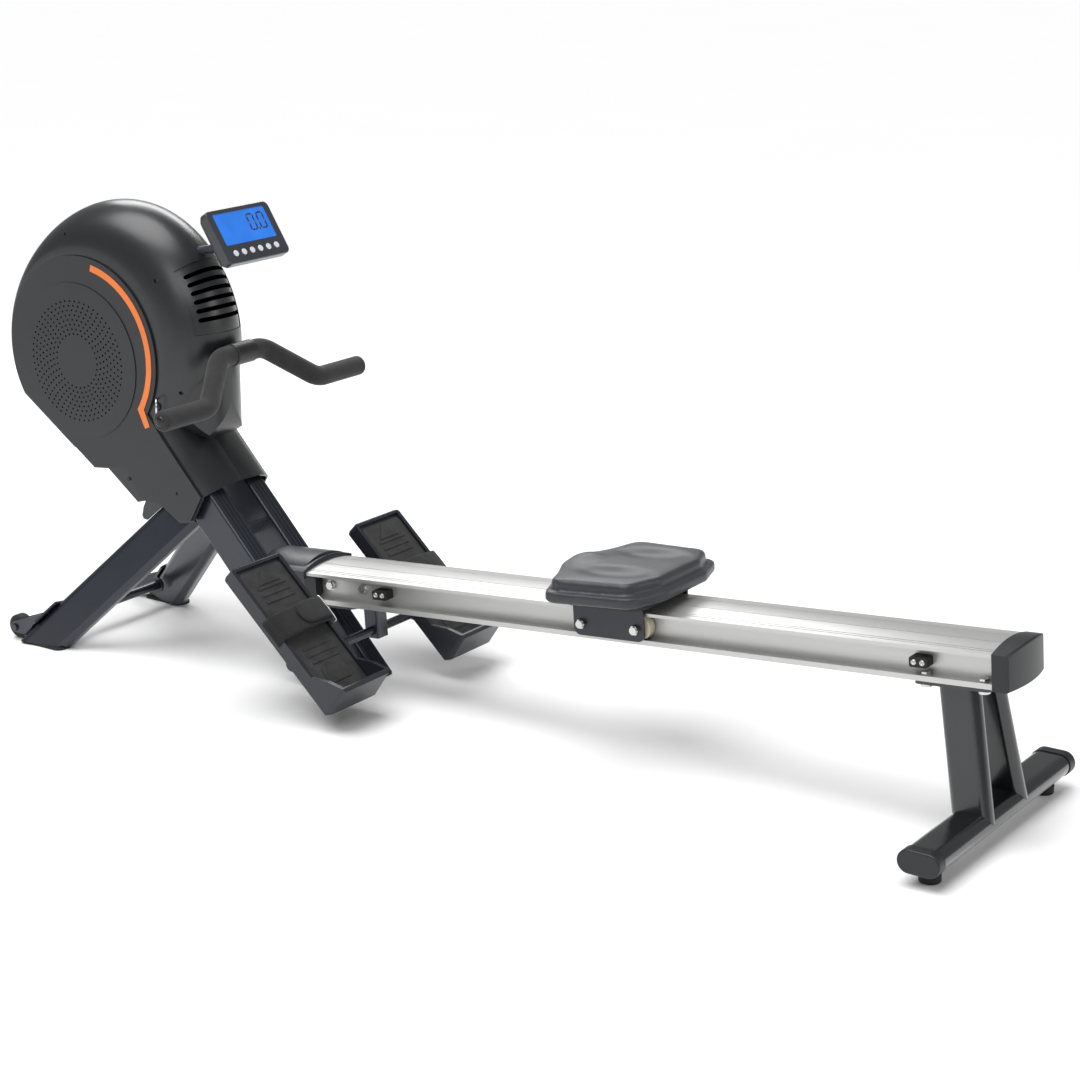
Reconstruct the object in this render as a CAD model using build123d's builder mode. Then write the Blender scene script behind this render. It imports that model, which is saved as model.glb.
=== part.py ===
"""Air rowing machine: welded front frame, inclined aluminium rail, rolling seat, swivelling foot plates,
fan in a two-part housing, pull handle on a strap, tilting console, rear leg on a cross foot.

X runs from the fan end (-X) to the rear foot (+X), Z is up, Y = 0 is the plane of symmetry.
The user faces -X, so the user's left is -Y. The floor is Z = 0. Millimetres.
"""
from build123d import *
from math import atan2, cos, degrees, radians, sin, sqrt
import os

os.makedirs("parts", exist_ok=True)

# ---------------------------------------------------------------- driving dimensions
MIDDLE_X = 22                       # from the drawing's zero to the middle of the overall length
RAIL_TILT = 4.45                    # degrees, rear end higher
RAIL_FOOT = (-355, 155)             # x, z of the rail's lower front end
RAIL_LENGTH = 1308
RAIL_HALF = 63                      # half width over the flanges
RAIL_SIDE = 54                      # height of the side faces
RAIL_CROWN = 8                      # rise of the arched top
WEB_HALF = 41                       # outer face of the webs
FLANGE_LOW = 6                      # top of the lower flange
FLANGE_HIGH = 48.5                  # underside of the upper flange

POST_TILT = 47.3                    # degrees above the floor
POST_FOOT_X = -310
POST_DEPTH = 68
POST_INNER = 31                     # y of the tubes' inner faces
POST_OUTER = 73
POST_LENGTH = 505

LEG_FOOT = (-903, 166)              # x, y of the front leg's centre line at the floor
LEG_TOP = (-597, 46, 311)           # where that line meets the post
LEG_DEPTH = 72
LEG_THICK = 34
PAD_HEIGHT = 4                      # rubber pads under the front feet

DRUM_CENTRE = (-797, 590)           # crown circle of the housing, x, z
DRUM_RADIUS = 231
SIDE_CENTRE = (-841, 548)           # side face circle, and the fan's axle
SIDE_RADIUS = 184
HOUSING_HALF = 88
HOUSING_WALL = 4
COVER_THICK = 4
COVER_RADIUS = 179

FAN_RADIUS = 148
FAN_HALF = 30
STRAP_DRUM = (-640, 545)            # x, z of the strap drum's shaft

HANDLE_CENTRE = (-541, 570)         # x, z of the middle of the handle
HANDLE_END = (-489, 505)            # x, z of the hand sections
HANDLE_HALF = 271
GRIP_RADIUS = 18

CONSOLE_FOOT = (-487, 745)          # x, z of the display face's lower edge
CONSOLE_LEAN = 32.4                 # degrees back from vertical
CONSOLE_SIZE = (164, 102, 24)       # width, height, depth

PIVOT_S = 104                       # foot plate pivot: along the rail ...
PIVOT_DROP = 55                     # ... and below its underside
BAR_RADIUS = 8
BAR_HALF = 226                      # half length of the bar the foot plates turn on
PEDAL_TILT = 43                     # degrees, the plate's slope
PEDAL_INNER = 105
PEDAL_OUTER = 234
PEDAL_PIVOT = (195, -18)            # pivot in the plate's own along / out axes

CARRIAGE_S = 643                    # middle of the seat carriage along the rail
AXLE_OFFSET = 51.5
AXLE_H = 27                         # axle height above the rail's underside
AXLE_RADIUS = 5
ROLLER_RADIUS = 20.5
PLATE_INNER = 66.5
PLATE_OUTER = 70.5

STOP_FRONT = 166                    # middle of the stop blocks along the rail
STOP_REAR = 1188
STOP_LENGTH = 30
STOP_HEIGHT = 16
STOP_DEPTH = 21

FOOT_BAR_X = 929
FOOT_BAR_Z = 42
FOOT_BAR_SIZE = (66, 35)
FOOT_BAR_HALF = 228
FOOT_CAP_END = 249

WHEEL_CENTRE = (-970, 160, 24)
WHEEL_RADIUS = 21.5

# ---------------------------------------------------------------- reference planes
rail_dir = Vector(cos(radians(RAIL_TILT)), 0, sin(radians(RAIL_TILT)))
rail_up = Vector(-sin(radians(RAIL_TILT)), 0, cos(radians(RAIL_TILT)))
rail_origin = Vector(RAIL_FOOT[0], 0, RAIL_FOOT[1])
post_dir = Vector(-cos(radians(POST_TILT)), 0, sin(radians(POST_TILT)))
post_out = Vector(sin(radians(POST_TILT)), 0, cos(radians(POST_TILT)))
post_origin = Vector(POST_FOOT_X, 0, 0)
post_face = Plane(origin=post_origin + post_out * (POST_DEPTH / 2), x_dir=post_dir, z_dir=post_out)
post_back = Plane(origin=post_origin - post_out * (POST_DEPTH / 2), x_dir=post_dir, z_dir=-post_out)
drum_axis_tilt = atan2(335 - 464, -831 + 1014)
chord_normal = Vector(sin(drum_axis_tilt), 0, -cos(drum_axis_tilt)) * -1
pivot = rail_origin + rail_dir * PIVOT_S - rail_up * PIVOT_DROP
pedal_dir = Vector(cos(radians(PEDAL_TILT)), 0, -sin(radians(PEDAL_TILT)))
pedal_out = Vector(sin(radians(PEDAL_TILT)), 0, cos(radians(PEDAL_TILT)))
pedal_toe = pivot - pedal_dir * PEDAL_PIVOT[0] - pedal_out * PEDAL_PIVOT[1]
console_up = Vector(-sin(radians(CONSOLE_LEAN)), 0, cos(radians(CONSOLE_LEAN)))
console_out = Vector(cos(radians(CONSOLE_LEAN)), 0, sin(radians(CONSOLE_LEAN)))
console_centre = Vector(CONSOLE_FOOT[0], 0, CONSOLE_FOOT[1]) + console_up * (CONSOLE_SIZE[1] / 2)


def rail_section(s):
    """Plane across the rail at distance s: local x is Y, local y is up from the underside."""
    return Plane(origin=rail_origin + rail_dir * s, x_dir=(0, 1, 0), z_dir=rail_dir)


def rail_side(y):
    """Plane along the rail's side at the given y: local x along the rail, local y up. It faces -Y."""
    return Plane(origin=rail_origin + Vector(0, y, 0), x_dir=rail_dir, z_dir=(0, -1, 0))


def rail_level(h):
    """Plane parallel to the rail's underside, h above it: local x along the rail, local y is Y."""
    return Plane(origin=rail_origin + rail_up * h, x_dir=rail_dir, z_dir=rail_up)


def pedal_side(y):
    """Plane along a foot plate's side: local x from toe to heel, local y out of the plate."""
    return Plane(origin=pedal_toe + Vector(0, y, 0), x_dir=pedal_dir, z_dir=(0, -1, 0))


def write(builder, name):
    """Set the piece in the machine's frame, whose origin is the middle of the floor under it."""
    piece = builder.part.moved(Location((MIDDLE_X, 0, 0)))
    piece.label = name
    export_step(piece, f"parts/{name}.step")


def write_mirrored(builder, name):
    """The same piece on the other side of the machine."""
    with BuildPart() as other:
        mirror(builder.part, about=Plane.XZ, mode=Mode.ADD)
    write(other, name)


def write_pair(builder, name):
    """Two like pieces, one on each side, in one node."""
    with BuildPart() as pair:
        add(builder.part)
        mirror(builder.part, about=Plane.XZ)
    write(pair, name)


# ---------------------------------------------------------------- rail
CHANNEL_LIP = 8.5
with BuildPart() as rail:
    with BuildSketch(rail_section(0)):
        with BuildLine():
            ThreePointArc((-RAIL_HALF, RAIL_SIDE), (0, RAIL_SIDE + RAIL_CROWN), (RAIL_HALF, RAIL_SIDE))
            Polyline((RAIL_HALF, RAIL_SIDE), (RAIL_HALF, FLANGE_HIGH), (WEB_HALF, FLANGE_HIGH),
                     (WEB_HALF, FLANGE_LOW), (60.5, FLANGE_LOW), (60.5, CHANNEL_LIP),
                     (RAIL_HALF, CHANNEL_LIP), (RAIL_HALF, 0), (-RAIL_HALF, 0),
                     (-RAIL_HALF, CHANNEL_LIP), (-60.5, CHANNEL_LIP), (-60.5, FLANGE_LOW),
                     (-WEB_HALF, FLANGE_LOW), (-WEB_HALF, FLANGE_HIGH), (-RAIL_HALF, FLANGE_HIGH),
                     (-RAIL_HALF, RAIL_SIDE))
        make_face()
        with BuildLine(mode=Mode.PRIVATE) as bore:
            ThreePointArc((-38, 50), (0, 57), (38, 50))
            Polyline((38, 50), (38, 5), (-38, 5), (-38, 50))
        add(make_face(bore.edges(), mode=Mode.PRIVATE), mode=Mode.SUBTRACT)
        for y in (-54, -49, -20, 20, 49, 54):
            with Locations((y, RAIL_SIDE + RAIL_CROWN * (1 - (y / RAIL_HALF) ** 2))):
                Rectangle(1.4, 1.6, mode=Mode.SUBTRACT)
    extrude(amount=RAIL_LENGTH)
write(rail, "rail")

CAP_STRAIGHT = 25
CAP_BULGE = 10
with BuildPart() as rail_end_cap:
    with BuildSketch(rail_section(RAIL_LENGTH)):
        with BuildLine():
            half = RAIL_HALF + 2
            ThreePointArc((-half, RAIL_SIDE + 1), (0, RAIL_SIDE + RAIL_CROWN + 2), (half, RAIL_SIDE + 1))
            Polyline((half, RAIL_SIDE + 1), (half, -2), (-half, -2), (-half, RAIL_SIDE + 1))
        make_face()
    extrude(amount=CAP_STRAIGHT + CAP_BULGE + 5)
    with BuildSketch(rail_level(-20)):
        with BuildLine():
            start = RAIL_LENGTH - 1
            edge = RAIL_LENGTH + CAP_STRAIGHT
            ThreePointArc((edge, -70), (edge + CAP_BULGE, 0), (edge, 70))
            Polyline((edge, 70), (start, 70), (start, -70), (edge, -70))
        make_face()
    extrude(amount=120, mode=Mode.INTERSECT)
    fillet(rail_end_cap.faces().sort_by(Axis.X)[-1].edges(), radius=3.5)
write(rail_end_cap, "rail_end_cap")

with BuildPart() as rail_stops:
    for s in (STOP_FRONT, STOP_REAR):
        for side in (-1, 1):
            with BuildSketch(rail_side(side * WEB_HALF)):
                with Locations((s, 28)):
                    Rectangle(STOP_LENGTH, STOP_HEIGHT)
            extrude(amount=-side * STOP_DEPTH)
    chamfer(rail_stops.edges().filter_by(Axis.Y), length=2)
write(rail_stops, "rail_stops")

# ---------------------------------------------------------------- main post
TUBE_WALL = 2.5
with BuildPart() as post:
    post_width = POST_OUTER - POST_INNER
    for side in (-1, 1):
        middle = side * (POST_INNER + POST_OUTER) / 2
        with BuildSketch(Plane(origin=post_origin - post_dir * 60, x_dir=(0, 1, 0), z_dir=post_dir)):
            with Locations((middle, 0)):
                RectangleRounded(post_width, POST_DEPTH, 7)
                RectangleRounded(post_width - 2 * TUBE_WALL, POST_DEPTH - 2 * TUBE_WALL, 5,
                                 mode=Mode.SUBTRACT)
            for offset_y in (-9, 0, 9):
                with Locations((middle + offset_y, -POST_DEPTH / 2)):
                    Rectangle(2, 2.4, mode=Mode.SUBTRACT)
        extrude(amount=POST_LENGTH + 60)
    split(bisect_by=Plane.XY.offset(PAD_HEIGHT), keep=Keep.TOP)
    for distance in (150, 250, 330):
        with BuildSketch(Plane(origin=post_origin + post_dir * distance, x_dir=(0, 1, 0), z_dir=post_dir)):
            Rectangle(2 * POST_INNER, POST_DEPTH - 16)
        extrude(amount=6)
write(post, "post")

with BuildPart() as front_foot_pads:
    with BuildSketch(Plane.XY):
        with Locations((POST_FOOT_X - 3, -52), (POST_FOOT_X - 3, 52)):
            RectangleRounded(94, 44, 12)
        with Locations((LEG_FOOT[0] + 4, -LEG_FOOT[1] + 1), (LEG_FOOT[0] + 4, LEG_FOOT[1] - 1)):
            RectangleRounded(98, 36, 14)
    extrude(amount=PAD_HEIGHT)
write(front_foot_pads, "front_foot_pads")

# ---------------------------------------------------------------- front legs
leg_vector = Vector(LEG_TOP[0] - LEG_FOOT[0], LEG_TOP[1] - LEG_FOOT[1], LEG_TOP[2])
leg_length = leg_vector.length
leg_dir = leg_vector.normalized()
leg_across = Vector(0, 1, 0).cross(leg_dir).normalized()
leg_plane = Plane(origin=Vector(LEG_FOOT[0], LEG_FOOT[1], 0) - leg_dir * 70, x_dir=leg_across, z_dir=leg_dir)
with BuildPart() as front_leg_right:
    with BuildSketch(leg_plane):
        RectangleRounded(LEG_DEPTH, LEG_THICK, 12)
        RectangleRounded(LEG_DEPTH - 5, LEG_THICK - 5, 9.5, mode=Mode.SUBTRACT)
    extrude(amount=leg_length + 120)
    split(bisect_by=Plane.XY.offset(PAD_HEIGHT), keep=Keep.TOP)
    split(bisect_by=post_back, keep=Keep.TOP)
write_pair(front_leg_right, "front_legs")

CROSSBAR = (-886, 44)
crossbar_half = LEG_FOOT[1] - LEG_THICK / 2 - 0.386 * CROSSBAR[1] - 6
with BuildPart() as leg_crossbar:
    with BuildSketch(Plane.XZ.offset(-crossbar_half)):
        with Locations(CROSSBAR):
            Circle(9)
    extrude(amount=2 * crossbar_half)
    for side in (-1, 1):
        with BuildSketch(Plane.XZ.offset(-side * crossbar_half)):
            with Locations(CROSSBAR):
                Circle(15)
        extrude(amount=side * 4)
write(leg_crossbar, "leg_crossbar")

BRACKET_PLATE = 4
FORK_OFFSET = 14.5
leg_front = Plane(origin=Vector(LEG_FOOT[0], LEG_FOOT[1], 0) - leg_across * (LEG_DEPTH / 2),
                  x_dir=leg_dir, z_dir=-leg_across)
bracket_face = leg_front.offset(BRACKET_PLATE)
with BuildPart() as wheel_bracket:
    for side in (-1, 1):
        with BuildSketch(Plane.XZ.offset(-(WHEEL_CENTRE[1] + side * FORK_OFFSET))):
            with BuildLine():
                Polyline((-855, 12), (-975, 14), (-981, 20), (-981, 28), (-975, 34), (-855, 78), (-855, 12))
            make_face()
        extrude(amount=1.5, both=True)
    split(bisect_by=bracket_face, keep=Keep.TOP)
    with BuildSketch(leg_front):
        with Locations((50, 3)):
            RectangleRounded(64, 40, 4)
    extrude(amount=BRACKET_PLATE)
    with BuildSketch(Plane.XZ.offset(-WHEEL_CENTRE[1])):
        with Locations((WHEEL_CENTRE[0], WHEEL_CENTRE[2])):
            Circle(4)
    extrude(amount=20, both=True)
    for side in (-1, 1):
        with BuildSketch(Plane.XZ.offset(-(WHEEL_CENTRE[1] + side * 16))):
            with Locations((WHEEL_CENTRE[0], WHEEL_CENTRE[2])):
                RegularPolygon(7, 6)
        extrude(amount=-side * 4)
write_pair(wheel_bracket, "wheel_brackets")

with BuildPart() as transport_wheel_right:
    with BuildSketch(Plane.XZ.offset(-(WHEEL_CENTRE[1] - 11))):
        with Locations((WHEEL_CENTRE[0], WHEEL_CENTRE[2])):
            Circle(WHEEL_RADIUS)
            Circle(4.06, mode=Mode.SUBTRACT)
    extrude(amount=-22)
    fillet(transport_wheel_right.edges().filter_by(GeomType.CIRCLE).group_by(SortBy.RADIUS)[-1], radius=4)
write(transport_wheel_right, "transport_wheel_right")
write_mirrored(transport_wheel_right, "transport_wheel_left")

# ---------------------------------------------------------------- rail bracket and foot plate hanger
HANGER_HALF = 15
with BuildPart() as rail_bracket:
    with BuildSketch(rail_level(-5)):
        with BuildLine():
            Polyline((-90, -60), (98, -60), (126, -26), (126, 26), (98, 60), (-90, 60), (-90, -60))
        make_face()
    extrude(amount=5)
    for side in (-1, 1):
        with BuildSketch(rail_side(side * 58)):
            with BuildLine():
                Polyline((-160, -5), (-0.5, -5), (-0.5, 50), (-160, 50), (-160, -5))
            make_face()
        extrude(amount=2, both=True)
    with BuildSketch(rail_section(-5)):
        with Locations((0, 24)):
            Rectangle(116, 58)
    extrude(amount=4.5)
    with BuildSketch(rail_section(-5)):
        with Locations((0, 26.5)):
            RectangleRounded(72, 40, 4)
            RectangleRounded(66, 34, 2, mode=Mode.SUBTRACT)
    extrude(amount=125)
    split(bisect_by=post_face, keep=Keep.TOP)
write(rail_bracket, "rail_bracket")

with BuildPart() as pedal_hanger:
    with BuildSketch(rail_level(-PIVOT_DROP - 13)):
        with Locations((PIVOT_S, 0)):
            RectangleRounded(2 * HANGER_HALF, 2 * HANGER_HALF, 4)
            RectangleRounded(2 * HANGER_HALF - 5, 2 * HANGER_HALF - 5, 2, mode=Mode.SUBTRACT)
    extrude(amount=PIVOT_DROP + 13 - 5)
    with BuildSketch(Plane.XZ.offset(-BAR_HALF)):
        with Locations((pivot.X, pivot.Z)):
            Circle(BAR_RADIUS)
    extrude(amount=2 * BAR_HALF)
write(pedal_hanger, "pedal_hanger")

with BuildPart() as bracket_cover:
    for half, low, shoulder, crown, end in ((68, 44, 57, 70.5, 7), (58, 54, 60, 75, -2)):
        with BuildSketch(rail_section(-150)):
            with BuildLine():
                ThreePointArc((-half, shoulder), (0, crown), (half, shoulder))
                Polyline((half, shoulder), (half, low), (-half, low), (-half, shoulder))
            make_face()
        extrude(amount=150 + end)
        chamfer(bracket_cover.faces().sort_by(Axis(rail_origin, rail_dir))[-1].edges(), length=2)
    with BuildSketch(rail_section(-150)):
        with Locations((0, 30)):
            Rectangle(121, 47)
    extrude(amount=149.6, mode=Mode.SUBTRACT)
    with BuildSketch(rail_section(-0.4)):
        with BuildLine():
            ThreePointArc((-63.4, RAIL_SIDE + 0.4), (0, RAIL_SIDE + RAIL_CROWN + 0.4),
                          (63.4, RAIL_SIDE + 0.4))
            Polyline((63.4, RAIL_SIDE + 0.4), (63.4, 0), (-63.4, 0), (-63.4, RAIL_SIDE + 0.4))
        make_face()
    extrude(amount=20, mode=Mode.SUBTRACT)
    split(bisect_by=post_face, keep=Keep.TOP)
write(bracket_cover, "bracket_cover")

with BuildPart() as channel_plugs:
    for side in (-1, 1):
        with BuildSketch(rail_section(0.5)):
            with Locations((side * 51, 28)):
                Rectangle(19, 36)
        extrude(amount=24)
    chamfer(channel_plugs.edges().filter_by(Axis.Y).group_by(Axis.X)[-1], length=5)
write(channel_plugs, "channel_plugs")

with BuildPart() as rail_bolts:
    for s in (45, 117):
        for side in (-1, 1):
            with BuildSketch(rail_side(side * WEB_HALF)):
                with Locations((s, 30)):
                    Circle(9)
            extrude(amount=-side * 2)
            with BuildSketch(rail_side(side * (WEB_HALF + 2))):
                with Locations((s, 30)):
                    RegularPolygon(7.5, 6)
            extrude(amount=-side * 6)
write(rail_bolts, "rail_bolts")

# ---------------------------------------------------------------- rear leg and cross foot
REAR_PLATE_S = (1180, 1304)
rear_plate_under = Plane(origin=rail_origin - rail_up * 5, x_dir=rail_dir, z_dir=-rail_up)
foot_middle = Plane.XY.offset(FOOT_BAR_Z + 4)
REAR_TUBE_TOP = (886, 38, 250)
REAR_TUBE_LOW = (928, 59, 50)
rear_vector = Vector(REAR_TUBE_TOP[0] - REAR_TUBE_LOW[0], REAR_TUBE_TOP[1] - REAR_TUBE_LOW[1],
                     REAR_TUBE_TOP[2] - REAR_TUBE_LOW[2])
rear_across = Vector(0, 1, 0).cross(rear_vector).normalized()

with BuildPart() as rear_mount_plate:
    with BuildSketch(rail_level(-5)):
        with Locations((sum(REAR_PLATE_S) / 2, 0)):
            RectangleRounded(REAR_PLATE_S[1] - REAR_PLATE_S[0], 2 * RAIL_HALF, 8)
    extrude(amount=5)
write(rear_mount_plate, "rear_mount_plate")

with BuildPart() as rear_leg_right:
    start = Vector(*REAR_TUBE_LOW) - rear_vector * 0.1
    with BuildSketch(Plane(origin=start, x_dir=rear_across, z_dir=rear_vector.normalized())):
        SlotOverall(66, 30)
        SlotOverall(61, 25, mode=Mode.SUBTRACT)
    extrude(amount=rear_vector.length * 1.25)
    split(bisect_by=rear_plate_under, keep=Keep.TOP)
    split(bisect_by=foot_middle, keep=Keep.TOP)
    with BuildSketch(Plane.XZ.offset(-FOOT_BAR_HALF)):
        with Locations((FOOT_BAR_X, FOOT_BAR_Z)):
            SlotOverall(*FOOT_BAR_SIZE)
    extrude(amount=FOOT_BAR_HALF, mode=Mode.SUBTRACT)
write_pair(rear_leg_right, "rear_legs")

with BuildPart() as rear_foot_bar:
    with BuildSketch(Plane.XZ.offset(-FOOT_BAR_HALF)):
        with Locations((FOOT_BAR_X, FOOT_BAR_Z)):
            SlotOverall(*FOOT_BAR_SIZE)
            SlotOverall(FOOT_BAR_SIZE[0] - 5, FOOT_BAR_SIZE[1] - 5, mode=Mode.SUBTRACT)
    extrude(amount=2 * FOOT_BAR_HALF)
write(rear_foot_bar, "rear_foot_bar")

with BuildPart() as rear_foot_caps:
    for side in (-1, 1):
        with BuildSketch(Plane.XZ.offset(-side * FOOT_BAR_HALF)):
            with Locations((FOOT_BAR_X, FOOT_BAR_Z)):
                SlotOverall(FOOT_BAR_SIZE[0] + 3, FOOT_BAR_SIZE[1] + 3)
        extrude(amount=-side * (FOOT_CAP_END - FOOT_BAR_HALF))
    fillet(rear_foot_caps.faces().sort_by(Axis.Y)[-1].edges(), radius=3)
    fillet(rear_foot_caps.faces().sort_by(Axis.Y)[0].edges(), radius=3)
write(rear_foot_caps, "rear_foot_caps")

with BuildPart() as rear_foot_pads:
    with BuildSketch(Plane.XY):
        with Locations((FOOT_BAR_X, -205), (FOOT_BAR_X, 205)):
            Circle(17)
    extrude(amount=14)
    with BuildSketch(Plane.XY.offset(14)):
        with Locations((FOOT_BAR_X, -205), (FOOT_BAR_X, 205)):
            Circle(12)
    extrude(amount=FOOT_BAR_Z - FOOT_BAR_SIZE[1] / 2 - 14)
    chamfer(rear_foot_pads.edges().filter_by(GeomType.CIRCLE).group_by(Axis.Z)[0], length=2)
write(rear_foot_pads, "rear_foot_pads")

with BuildPart() as rear_bolts:
    for s in (1196, 1290):
        for side in (-1, 1):
            with BuildSketch(rail_level(FLANGE_LOW)):
                with Locations((s, side * 51.5)):
                    RegularPolygon(8, 6)
            extrude(amount=7)
            with BuildSketch(rail_level(-5)):
                with Locations((s, side * 51.5)):
                    Circle(9)
            extrude(amount=-5)
write(rear_bolts, "rear_bolts")

# ---------------------------------------------------------------- seat carriage
PLATE_LOW = 7
PLATE_HIGH = 66
SADDLE = 4
with BuildPart() as carriage_frame:
    with BuildSketch(rail_side(PLATE_OUTER)):
        with Locations((CARRIAGE_S, (PLATE_LOW + PLATE_HIGH + SADDLE) / 2)):
            Rectangle(134, PLATE_HIGH + SADDLE - PLATE_LOW)
    extrude(amount=2 * PLATE_OUTER)
    with BuildSketch(rail_side(PLATE_INNER)):
        with Locations((CARRIAGE_S, (PLATE_LOW + PLATE_HIGH) / 2)):
            Rectangle(140, PLATE_HIGH - PLATE_LOW + 0.001)
    extrude(amount=2 * PLATE_INNER, mode=Mode.SUBTRACT)
    fillet(carriage_frame.edges().filter_by(lambda edge: 3.9 < edge.length < 4.1 and edge.center().Z < 225),
           radius=12)
    with BuildSketch(rail_side(PLATE_OUTER)):
        with Locations((CARRIAGE_S - AXLE_OFFSET, AXLE_H), (CARRIAGE_S + AXLE_OFFSET, AXLE_H)):
            Circle(AXLE_RADIUS)
    extrude(amount=2 * PLATE_OUTER, mode=Mode.SUBTRACT)
write(carriage_frame, "carriage_frame")

with BuildPart() as carriage_axles:
    for s in (CARRIAGE_S - AXLE_OFFSET, CARRIAGE_S + AXLE_OFFSET):
        for side in (-1, 1):
            with BuildSketch(rail_side(side * (WEB_HALF + 1))):
                with Locations((s, AXLE_H)):
                    Circle(AXLE_RADIUS)
            extrude(amount=-side * (PLATE_OUTER - WEB_HALF - 1))
            with BuildSketch(rail_side(side * PLATE_OUTER)):
                with Locations((s, AXLE_H)):
                    RegularPolygon(8.5, 6)
            extrude(amount=-side * 6)
            with BuildSketch(rail_side(side * (PLATE_OUTER + 6))):
                with Locations((s, AXLE_H)):
                    Circle(6.5)
            extrude(amount=-side * 3)
write(carriage_axles, "carriage_axles")

for end, s in (("front", CARRIAGE_S - AXLE_OFFSET), ("rear", CARRIAGE_S + AXLE_OFFSET)):
    with BuildPart() as roller:
        with BuildSketch(rail_side(43)):
            with Locations((s, AXLE_H)):
                Circle(ROLLER_RADIUS)
                Circle(AXLE_RADIUS + 0.06, mode=Mode.SUBTRACT)
        extrude(amount=-16)
        fillet(roller.edges().filter_by(GeomType.CIRCLE).group_by(SortBy.RADIUS)[-1], radius=1.5)
    write_pair(roller, f"rollers_{end}")

SEAT_BASE = 8
SEAT_HALF = 146
with BuildPart() as seat_base:
    with BuildSketch(rail_level(PLATE_HIGH + SADDLE)):
        with Locations((CARRIAGE_S + 14, 0)):
            RectangleRounded(150, 2 * SEAT_HALF - 64, 26)
    extrude(amount=SEAT_BASE)
write(seat_base, "seat_base")


def seat_outline(inset, front_inset):
    """Seat seen from above: a bowed rear edge, straight sides and a blunt nose in the front edge."""
    nose = CARRIAGE_S - 117 + front_inset
    corner = CARRIAGE_S - 72 + front_inset
    back = CARRIAGE_S + 110 - inset
    half = SEAT_HALF - inset
    side = [(nose, 34), (corner, half), (back - 24, half - 12), (back, 62)]
    with BuildLine() as line:
        FilletPolyline(*side, *[(s, -y) for s, y in reversed(side)], radius=28, close=True)
    return line


RIM_THICK = 19
PAD_THICK = 38
with BuildPart() as seat_pad:
    with BuildSketch(rail_level(PLATE_HIGH + SADDLE + SEAT_BASE)):
        make_face(seat_outline(0, 0).edges())
    extrude(amount=RIM_THICK)
    fillet(seat_pad.faces().sort_by(Axis.Z)[-1].edges(), radius=4)
    fillet(seat_pad.faces().sort_by(Axis.Z)[0].edges(), radius=6)
    with BuildSketch(rail_level(PLATE_HIGH + SADDLE + SEAT_BASE + RIM_THICK - 3)):
        make_face(seat_outline(11, 7).edges())
    extrude(amount=PAD_THICK - RIM_THICK + 3)
    fillet(seat_pad.faces().sort_by(Axis.Z)[-1].edges(), radius=8)
write(seat_pad, "seat_pad")

# ---------------------------------------------------------------- foot plates
PEDAL_LENGTH = 305
PEDAL_DEEP = 25
PEDAL_FLOOR = -5
PEDAL_WALL = 8
PEDAL_WIDTH = PEDAL_OUTER - PEDAL_INNER
with BuildPart() as pedal_right:
    with BuildSketch(pedal_side(PEDAL_OUTER)):
        with BuildLine():
            Polyline((0, -3), (3, 0), (236, 0), (262, 24), (290, 41), (296, 38), (PEDAL_LENGTH, -16),
                     (298, -PEDAL_DEEP), (6, -PEDAL_DEEP), (0, -20), (0, -3))
        make_face()
    extrude(amount=PEDAL_WIDTH)
    uprights = [edge for edge in pedal_right.edges() if abs(edge.tangent_at(0.5).dot(pedal_out)) > 0.95]
    fillet(uprights, radius=9)
    with BuildSketch(pedal_side(PEDAL_OUTER - PEDAL_WALL)):
        with BuildLine():
            Polyline((PEDAL_WALL, 60), (PEDAL_WALL, PEDAL_FLOOR), (293, PEDAL_FLOOR), (283, 60),
                     (PEDAL_WALL, 60))
        make_face()
    extrude(amount=PEDAL_WIDTH - 2 * PEDAL_WALL, mode=Mode.SUBTRACT)
    with BuildSketch(pedal_side(PEDAL_OUTER - 5)):
        with BuildLine():
            Polyline((12, -40), (12, PEDAL_FLOOR - 4), (292, PEDAL_FLOOR - 4), (286, -40), (12, -40))
        make_face()
    extrude(amount=PEDAL_WIDTH - 10, mode=Mode.SUBTRACT)
    with BuildSketch(pedal_side(PEDAL_OUTER)):
        with Locations(PEDAL_PIVOT):
            Circle(12)
    extrude(amount=PEDAL_WIDTH)
    with BuildSketch(pedal_side(PEDAL_OUTER)):
        for along in (60, 130, 250):
            with Locations((along, PEDAL_FLOOR - 8)):
                Rectangle(3, 14)
    extrude(amount=PEDAL_WIDTH)
    with BuildSketch(pedal_side(BAR_HALF + 1)):
        with Locations(PEDAL_PIVOT):
            Circle(BAR_RADIUS + 0.06)
    extrude(amount=PEDAL_WIDTH, mode=Mode.SUBTRACT)
write(pedal_right, "pedal_right")
write_mirrored(pedal_right, "pedal_left")

pedal_middle = (PEDAL_INNER + PEDAL_OUTER) / 2
pedal_floor_plane = Plane(origin=pedal_toe + Vector(0, pedal_middle, 0) + pedal_out * PEDAL_FLOOR,
                          x_dir=pedal_dir, z_dir=pedal_out)
with BuildPart() as foot_mat_right:
    with BuildSketch(pedal_floor_plane):
        with Locations((148, 0)):
            RectangleRounded(268, PEDAL_WIDTH - 2 * PEDAL_WALL - 6, 8)
    extrude(amount=2.2)
    with BuildSketch(pedal_floor_plane.offset(2.2)):
        for along in (52, 66, 80, 184, 198, 212):
            with Locations((along, 0)):
                SlotOverall(74, 5, rotation=90)
        with Locations((242, 0)):
            RectangleRounded(34, 60, 8)
        with Locations((32, 0)):
            Triangle(c=40, B=45, C=45, rotation=90, align=(Align.CENTER, Align.CENTER))
    extrude(amount=1.2)
write(foot_mat_right, "foot_mat_right")
write_mirrored(foot_mat_right, "foot_mat_left")

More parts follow.
